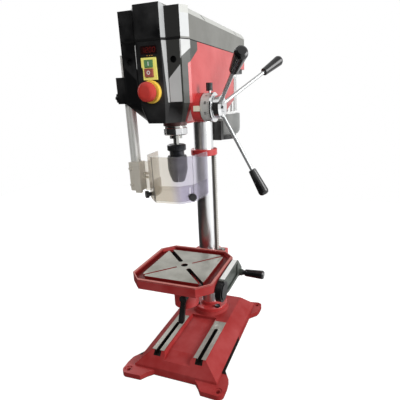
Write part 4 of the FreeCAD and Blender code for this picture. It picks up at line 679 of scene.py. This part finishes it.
def deselect():
    if bpy.context.object and bpy.context.object.mode != "OBJECT":
        bpy.ops.object.mode_set(mode="OBJECT")
    bpy.ops.object.select_all(action="DESELECT")


def begin(kind, **how):
    """Adds a primitive at its size and place, alone in the selection."""
    deselect()
    getattr(bpy.ops.mesh, "primitive_" + kind + "_add")(**how)
    return bpy.context.object


def block(middle, size):
    piece = begin("cube", size=1.0, location=middle)
    piece.scale = size
    bpy.ops.object.transform_apply(location=False, rotation=False, scale=True)
    return piece


def alone(piece):
    deselect()
    piece.select_set(True)
    bpy.context.view_layer.objects.active = piece


def pick(piece, test):
    """Opens the piece for editing with the faces that pass the test."""
    alone(piece)
    mesh = piece.data
    for part in (mesh.vertices, mesh.edges, mesh.polygons):
        part.foreach_set("select", [False] * len(part))
    for face in mesh.polygons:
        face.select = bool(test(face.center, face.normal))
    bpy.ops.object.mode_set(mode="EDIT")
    bpy.ops.mesh.select_mode(type="FACE")


def leave():
    bpy.ops.object.mode_set(mode="OBJECT")


def soften(piece, width):
    """Bevels every edge by a modifier and smooths the shading."""
    alone(piece)
    rounding = piece.modifiers.new("Rounding", "BEVEL")
    rounding.width, rounding.segments, rounding.limit_method = width, 2, "ANGLE"
    bpy.ops.object.modifier_apply(modifier=rounding.name)
    bpy.ops.object.shade_smooth_by_angle(angle=math.radians(35))


def copy_at(piece, matrix):
    """A copy with its own mesh, moved by the matrix."""
    twin = piece.copy()
    twin.data = piece.data.copy()
    twin.data.transform(matrix @ piece.matrix_world)
    twin.matrix_world = Matrix.Identity(4)
    bpy.context.collection.objects.link(twin)
    return twin


def joined(pieces):
    deselect()
    for piece in pieces:
        piece.select_set(True)
    bpy.context.view_layer.objects.active = pieces[0]
    if len(pieces) > 1:
        bpy.ops.object.join()
    return pieces[0]


def done(piece, name, finish_name, body):
    """Names a finished piece, settles its place in its mesh, and lets it ride on its body."""
    alone(piece)
    bpy.ops.object.transform_apply(location=True, rotation=True, scale=True)
    piece.name = name
    piece.data.name = name
    piece.data.materials.clear()
    piece.data.materials.append(finish(finish_name))
    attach(piece, body)
    return piece


def spun(profile, axis_place, axis, steps=48):
    """A turned piece from profile points (radius, along the axis); an open profile gets a flat foot."""
    foot = "NOTHING" if profile[0] == profile[-1] else "NGON"
    piece = begin("circle", vertices=steps, radius=profile[0][0], fill_type=foot, location=(0, 0, 0))
    bpy.ops.object.mode_set(mode="EDIT")
    bpy.ops.mesh.select_all(action="SELECT")
    bpy.ops.transform.translate(value=(0, 0, profile[0][1]))
    for (r0, z0), (r1, z1) in zip(profile, profile[1:]):
        bpy.ops.mesh.extrude_edges_move(TRANSFORM_OT_translate={"value": (0, 0, z1 - z0)})
        if r1 != r0:
            share = r1 / r0
            bpy.ops.transform.resize(value=(share, share, 1), center_override=(0, 0, z1))
    bpy.ops.mesh.select_all(action="SELECT")
    bpy.ops.mesh.remove_doubles(threshold=1e-6)
    bpy.ops.mesh.normals_make_consistent(inside=False)
    leave()
    turn = Vector((0, 0, 1)).rotation_difference(Vector(axis)).to_matrix().to_4x4()
    piece.data.transform(Matrix.Translation(Vector(axis_place)) @ turn)
    return piece


# Pieces


class PressPiece:
    """What the operators of this file share."""
    bl_options = {"REGISTER", "UNDO"}

    def execute(self, context):
        self.build(context)
        return {"FINISHED"}


class PRESS_OT_castings(PressPiece, bpy.types.Operator):
    """Paints the red castings and grinds their working faces"""
    bl_idname = "press.castings"
    bl_label = "Red castings"

    def build(self, context):
        dress("red_base", "base_casting")
        dress("red_table", "work_table")
        dress("red_casting", "head_casting", "table_carrier", "rack_collar")
        dress("flange_paint", "column_flange")


class PRESS_OT_column(PressPiece, bpy.types.Operator):
    """Plates the column and finishes its rack and fixings"""
    bl_idname = "press.column"
    bl_label = "Column and rack"

    def build(self, context):
        dress("column_chrome", "column_tube")
        dress("rack", "column_rack")
        dress("black_oxide", "fixings")


class PRESS_OT_table_gear(PressPiece, bpy.types.Operator):
    """Finishes the lift crank and the locking levers"""
    bl_idname = "press.table_gear"
    bl_label = "Table gear"

    def build(self, context):
        dress("black_gloss", "crank_grip")
        dress("lever_black", "table_lock_lever", "column_clamp_lever")
        dress("turned_steel", "lift_shaft")
        dress("crank", "table_crank")


class PRESS_OT_cover(PressPiece, bpy.types.Operator):
    """Paints the belt cover"""
    bl_idname = "press.cover"
    bl_label = "Belt cover"

    def build(self, context):
        dress("cover_paint", "belt_cover")
        dress("front", "cover_front")
        dress("black_oxide", "cover_hinge")


class PRESS_OT_console(PressPiece, bpy.types.Operator):
    """Finishes the console and its flank panels"""
    bl_idname = "press.console"
    bl_label = "Console"

    def build(self, context):
        dress("console", "front_console")
        dress("frame_plastic", "console_bezels")
        dress("panel_plastic", "console_trims")


BARS = {
    "0": "abcdef", "1": "bc", "2": "abged", "3": "abgcd", "4": "fgbc",
    "5": "afgcd", "6": "afgedc", "7": "abc", "8": "abcdefg", "9": "abcdfg",
}
DIGIT_PITCH = 1.62                  # distance of two digits, in widths of one
DIGIT_LEAN = 0.12                   # sideways lean for each step upward
LAMP_PLACES = (-0.0043, 0.0018, 0.0078)


def light_bar(long, wide):
    """One bar of a digit, drawn to a blunt point at each end."""
    piece = block((0, 0, 0), (long, 0.3 * MM, wide))
    pick(piece, lambda centre, normal: abs(normal.x) > 0.9)
    bpy.ops.mesh.extrude_region_move(TRANSFORM_OT_translate={"value": (0, 0, 0)})
    bpy.ops.transform.resize(value=(1 + wide * 0.7 / long, 1, 0.12))
    leave()
    return piece


class PRESS_OT_display(PressPiece, bpy.types.Operator):
    """Builds the seven bar digits of the speed display"""
    bl_idname = "press.display"
    bl_label = "Speed display"
    shown: bpy.props.StringProperty(name="Shown", description="Digits that are lit", default="1200")

    def build(self, context):
        dress("display_glass", "display_window")
        low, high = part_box("display_window")
        half, reach, bar = sizes().digit_width / 2, sizes().digit_height / 2, sizes().digit_bar
        middle = (low + high) / 2
        front = low.y - 0.1 * MM
        piece = light_bar(reach - bar * 0.8, bar)
        level, upright = Matrix.Identity(4), Matrix.Rotation(math.pi / 2, 4, "Y")
        shorten = Matrix.Diagonal((half * 2 / reach * 0.92, 1, 1, 1))
        places = {
            "a": (0, reach, level @ shorten),
            "g": (0, 0, level @ shorten),
            "d": (0, -reach, level @ shorten),
            "b": (half, reach / 2, upright),
            "c": (half, -reach / 2, upright),
            "e": (-half, -reach / 2, upright),
            "f": (-half, reach / 2, upright),
        }
        lit, dim = [], []
        for i, digit in enumerate(self.shown):
            x = middle.x + (i - (len(self.shown) - 1) / 2) * half * 2 * DIGIT_PITCH
            for key, (across, rise, fit) in places.items():
                place = Matrix.Translation((x + across + rise * DIGIT_LEAN, front, middle.z + rise)) @ fit
                (lit if key in BARS[digit] else dim).append(copy_at(piece, place))
        bpy.data.objects.remove(piece)
        done(joined(lit), "display_bars_lit", "lit_bar", "frame")
        done(joined(dim), "display_bars_dim", "dim_bar", "frame")
        lamps = []
        wide = sizes().lamp_width / 2
        for x in LAMP_PLACES:
            lamps.append(spun([(wide, 0), (wide, wide * 0.5), (wide * 0.7, wide), (0, wide * 1.2)],
                              (x, FRONT_Y + 0.1 * MM, low.z - sizes().lamp_drop), (0, -1, 0), 16))
        done(joined(lamps), "display_lamps", "amber", "frame")


class PRESS_OT_controls(PressPiece, bpy.types.Operator):
    """Finishes the switch plate and buttons and adds their on and off signs"""
    bl_idname = "press.controls"
    bl_label = "Switch and stop"

    def build(self, context):
        dress("yellow_plastic", "switch_plate")
        dress("warm_plastic", "estop_base")
        dress("green_plastic", "start_button")
        dress("washed_plastic", "stop_button")
        dress("stop_plastic", "estop_button")
        dress("black_plastic", "estop_stem")
        low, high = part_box("start_button")
        bar, tall = sizes().sign_bar, sizes().sign_height
        sign = block((0, low.y - 0.1 * MM, (low.z + high.z) / 2), (bar, 0.5 * MM, tall))
        soften(sign, 0.12 * MM)
        done(sign, "start_sign", "white_print", "start")
        low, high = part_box("stop_button")
        outer, inner = tall / 2, tall / 2 - bar * 0.8
        ring = spun([(inner, 0), (inner, 0.4 * MM), (outer, 0.4 * MM), (outer, 0), (inner, 0)],
                    (0, low.y + 0.1 * MM, (low.z + high.z) / 2), (0, -1, 0))
        done(ring, "stop_sign", "white_print", "stop")


class PRESS_OT_spindle(PressPiece, bpy.types.Operator):
    """Finishes the quill, spindle and chuck"""
    bl_idname = "press.spindle"
    bl_label = "Quill and chuck"

    def build(self, context):
        dress("turned_steel", "quill", "spindle", "chuck_jaw_1", "chuck_jaw_2", "chuck_jaw_3")
        dress("chrome", "quill_ring")
        dress("black_oxide", "chuck_body", "chuck_sleeve")


def depth_mark(depth, edge, radius):
    """The mark of one depth, lying on top of the ring."""
    tens = depth % NUMBER_STEP == 0
    long = sizes().mark_length * (1.0 if tens else 0.55)
    wide = sizes().mark_width * (1.4 if tens else 1.0)
    return block((edge - long / 2, 0, radius + 0.02 * MM), (long, wide, 0.12 * MM))


def depth_number(depth):
    """The number of one depth, as a mesh at the origin."""
    deselect()
    bpy.ops.object.text_add(location=(0, 0, 0))
    letters = bpy.context.object.data
    letters.body = str(depth)
    letters.size = sizes().number_height * 1.35
    letters.align_x, letters.align_y = "CENTER", "CENTER"
    letters.extrude = 0.05 * MM
    bpy.ops.object.convert(target="MESH")
    return bpy.context.object


class PRESS_OT_feed(PressPiece, bpy.types.Operator):
    """Plates the feed hub and spokes and marks the depth ring in millimetres"""
    bl_idname = "press.feed"
    bl_label = "Feed and depth ring"

    def build(self, context):
        dress("turned_steel", "feed_shaft")
        dress("chrome", "feed_hub")
        dress("spoke", "feed_spokes")
        dress("ring_screw", "depth_ring_screw")
        dress("black_gloss", "feed_knobs")
        dress("ring", "depth_ring")
        dress("cream_plastic", "depth_pointer")
        low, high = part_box("depth_ring")
        radius = (high.z - low.z) / 2
        edge = high.x - 5.5 * MM
        number_edge = edge - sizes().mark_length - 3.6 * MM
        centre = Matrix.Translation((0, (low.y + high.y) / 2, (low.z + high.z) / 2))
        stand = Matrix.Translation((number_edge, 0, radius + 0.03 * MM))
        stand = stand @ Matrix.Rotation(math.pi / 2, 4, "Z")
        marks, numbers = [], []
        for depth in range(0, FULL_DEPTH + 1, MARK_STEP):
            turn = Matrix.Rotation(FIRST_MARK - depth / FULL_DEPTH * FULL_FEED, 4, "X")
            mark = depth_mark(depth, edge, radius)
            marks.append(copy_at(mark, centre @ turn))
            bpy.data.objects.remove(mark)
            if depth % NUMBER_STEP == 0:
                number = depth_number(depth)
                numbers.append(copy_at(number, centre @ turn @ stand))
                bpy.data.objects.remove(number)
        done(joined(marks), "depth_marks", "black_print", "depth_ring_body")
        done(joined(numbers), "depth_numbers", "black_print", "depth_ring_body")


class PRESS_OT_drive(PressPiece, bpy.types.Operator):
    """Finishes the pulleys, belts and motor"""
    bl_idname = "press.drive"
    bl_label = "Motor and belts"

    def build(self, context):
        dress("cast_aluminium", "spindle_pulley", "idler_pulley", "motor_pulley")
        dress("belt", "drive_belts")
        dress("black_oxide", "motor_plate")
        dress("motor_paint", "motor_body")
        dress("bell_paint", "motor_bell")
        dress("black_plastic", "motor_vent_cap", "capacitor_box")


class PRESS_OT_guard(PressPiece, bpy.types.Operator):
    """Finishes the chuck guard, its post and its clamps"""
    bl_idname = "press.guard"
    bl_label = "Chuck guard"

    def build(self, context):
        dress("clear", "guard_shell", "guard_slider")
        dress("post_metal", "guard_post")
        dress("clamp_metal", "guard_clamp")
        dress("black_plastic", "guard_bracket", "guard_sleeve", "guard_height_knob",
              "guard_screw_left", "guard_screw_right")


# Studio


FLOOR_SIZE, FLOOR_PLACE = 6.0, (0.6, -1.2, -0.0004)
FLOOR_TONE, FLOOR_GLOW = (0.36, 0.36, 0.36), 0.84
CARDS = {                           # place, turn and size
    "card_front": ((-0.35, -1.3, 1.0), (math.pi / 2, 0, 0), (2.1, 2.3)),
    "card_floor": ((-1.35, -1.0, 0.002), (0, 0, 0), (3.3, 4.0)),
    "card_left": ((-1.4, -0.4, 1.0), (0, math.pi / 2, 0), (2.3, 1.8)),
}
LAMPS = {                           # place, aim, size, and the value that holds the power
    "key_lamp": ((2.6, 0.0, 1.4), (0, 0, 0.45), 1.6, "key_power"),
    "front_lamp": ((0.35, -1.5, 1.35), (0, -0.19, 0.85), 0.6, "front_power"),
    "fill_lamp": ((-1.8, -2.0, 1.4), (0, 0, 0.5), 2.0, "fill_power"),
    "back_lamp": ((-2.2, 1.3, 1.7), (0, 0, 0.4), 1.4, "back_power"),
}


def studio_paint(name, tone, glow):
    """Backdrop material: even colour, with its own light for camera, mirror and glass rays."""
    paint = Paint(name, tone, 0.9)
    cloud = paint.noise(0.8)
    paint.tone = paint.mixed(cloud, darker(tone, 0.99), tone)
    paint.close()
    rays = paint.node("LightPath", {}, {}, "Is Camera Ray").socket.node
    seen = (Wire(paint, rays.outputs["Is Camera Ray"]) + Wire(paint, rays.outputs["Is Glossy Ray"])
            + Wire(paint, rays.outputs["Is Transmission Ray"])).kept()
    shine = paint.node("Emission", {}, {"Color": (1.0, 1.0, 1.0), "Strength": glow})
    both = paint.node("AddShader", {}, {0: Wire(paint, paint.surface.outputs[0]), 1: shine})
    pick_one = paint.node("MixShader", {}, {0: seen, 1: Wire(paint, paint.surface.outputs[0]), 2: both})
    paint.tree.links.new(pick_one.socket, paint.tree.nodes["Material Output"].inputs["Surface"])
    return paint.material


def dark_card(name, place, turn, size, tone):
    """A dark card that only mirror-like surfaces see; it gives the bright metal its dark bands."""
    card = begin("plane", size=1.0, location=place, rotation=turn)
    card.scale = (*size, 1.0)
    card.name = name
    paint = Paint(name, (tone, tone, tone), 0.8)
    paint.tone = paint.mixed(paint.noise(0.7), (tone * 0.7,) * 3, (tone * 1.3,) * 3)
    card.data.materials.append(paint.close())
    card.visible_camera = card.visible_diffuse = card.visible_shadow = card.visible_transmission = False


def area_lamp(name, place, aim, size, power):
    deselect()
    bpy.ops.object.light_add(type="AREA", location=place)
    lamp = bpy.context.object
    lamp.name = name
    lamp.data.shape, lamp.data.size, lamp.data.energy = "SQUARE", size, power
    lamp.rotation_euler = (Vector(aim) - Vector(place)).to_track_quat("-Z", "Y").to_euler()
    return lamp


def light_room(scene, strength):
    """White world for the rays that see it, and even light of a set strength for all others."""
    world = bpy.data.worlds.new("studio_room")
    scene.world = world
    world.use_nodes = True
    tree = world.node_tree
    light = tree.nodes["Background"]
    seen = tree.nodes.new("ShaderNodeBackground")
    for background, power in ((light, strength), (seen, 1.0)):
        background.inputs["Color"].default_value = (1.0, 1.0, 1.0, 1.0)
        background.inputs["Strength"].default_value = power
    rays = tree.nodes.new("ShaderNodeLightPath")
    share = rays.outputs["Is Camera Ray"]
    for ray in ("Is Glossy Ray", "Is Transmission Ray"):
        most = tree.nodes.new("ShaderNodeMath")
        most.operation = "MAXIMUM"
        tree.links.new(share, most.inputs[0])
        tree.links.new(rays.outputs[ray], most.inputs[1])
        share = most.outputs[0]
    blend = tree.nodes.new("ShaderNodeMixShader")
    for i, source in enumerate((share, light.outputs[0], seen.outputs[0])):
        tree.links.new(source, blend.inputs[i])
    tree.links.new(blend.outputs[0], tree.nodes["World Output"].inputs["Surface"])


def stand_camera(scene, studio):
    """Sets up the camera from its place, turn, tilt and roll."""
    turn, tilt, roll = studio.azimuth, studio.elevation, studio.roll
    ahead = Vector((-math.sin(turn) * math.cos(tilt), math.cos(turn) * math.cos(tilt), math.sin(tilt)))
    right = Vector((math.cos(turn), math.sin(turn), 0))
    up = right.cross(ahead)
    across = right * math.cos(roll) + up * math.sin(roll)
    upward = up * math.cos(roll) - right * math.sin(roll)
    pose = Matrix((across, upward, -ahead)).transposed().to_4x4()
    pose.translation = Vector(studio.camera_place)
    deselect()
    bpy.ops.object.camera_add()
    camera = bpy.context.object
    camera.name = "studio_camera"
    camera.matrix_world = pose
    camera.data.sensor_width, camera.data.lens = 36.0, studio.lens
    camera.data.sensor_fit = "HORIZONTAL"
    camera.data.shift_x, camera.data.shift_y = studio.shift_x, studio.shift_y
    camera.data.clip_start, camera.data.clip_end = 0.05, 60.0
    scene.camera = camera


class PRESS_OT_studio(PressPiece, bpy.types.Operator):
    """Sets up the floor, backdrop light, lamps and camera"""
    bl_idname = "press.studio"
    bl_label = "Studio"

    def build(self, context):
        scene = context.scene
        studio = scene.press_studio
        scene.view_settings.view_transform = "Standard"
        floor = begin("plane", size=FLOOR_SIZE, location=FLOOR_PLACE)
        floor.name = "studio_floor"
        floor.data.materials.append(studio_paint("studio_floor", FLOOR_TONE, FLOOR_GLOW))
        for name, (place, turn, size) in CARDS.items():
            dark_card(name, place, turn, size, studio.card_tone)
        light_room(scene, studio.room_light)
        for name, (place, aim, size, power) in LAMPS.items():
            lamp = area_lamp(name, place, aim, size, getattr(studio, power))
            lamp.visible_glossy = name != "front_lamp"
        stand_camera(scene, studio)


OPERATORS = [
    PRESS_OT_studio, PRESS_OT_castings, PRESS_OT_column, PRESS_OT_table_gear, PRESS_OT_cover,
    PRESS_OT_console, PRESS_OT_display, PRESS_OT_controls, PRESS_OT_spindle, PRESS_OT_feed,
    PRESS_OT_drive, PRESS_OT_guard,
]


class PRESS_PT_panel(bpy.types.Panel):
    """Buttons and values of the drill press in the sidebar"""
    bl_idname = "PRESS_PT_panel"
    bl_label = "Drill Press"
    bl_space_type = "VIEW_3D"
    bl_region_type = "UI"
    bl_category = "Drill Press"

    def draw(self, context):
        for operator in OPERATORS:
            self.layout.operator(operator.bl_idname)
        for group in (context.scene.press_sizes, context.scene.press_colours, context.scene.press_studio):
            box = self.layout.box()
            for name in group.bl_rna.properties.keys():
                if name not in ("rna_type", "name"):
                    box.prop(group, name)


CLASSES = [PressColours, PressSizes, PressStudio, *OPERATORS, PRESS_PT_panel]
GROUPS = {"press_colours": PressColours, "press_sizes": PressSizes, "press_studio": PressStudio}


def register():
    for cls in CLASSES:
        bpy.utils.register_class(cls)
    for name, group in GROUPS.items():
        setattr(bpy.types.Scene, name, bpy.props.PointerProperty(type=group))


def unregister():
    for name in GROUPS:
        delattr(bpy.types.Scene, name)
    for cls in reversed(CLASSES):
        bpy.utils.unregister_class(cls)


def main():
    register()
    for operator in OPERATORS:
        group, name = operator.bl_idname.split(".")
        getattr(getattr(bpy.ops, group), name)()


if __name__ == "__main__":
    main()
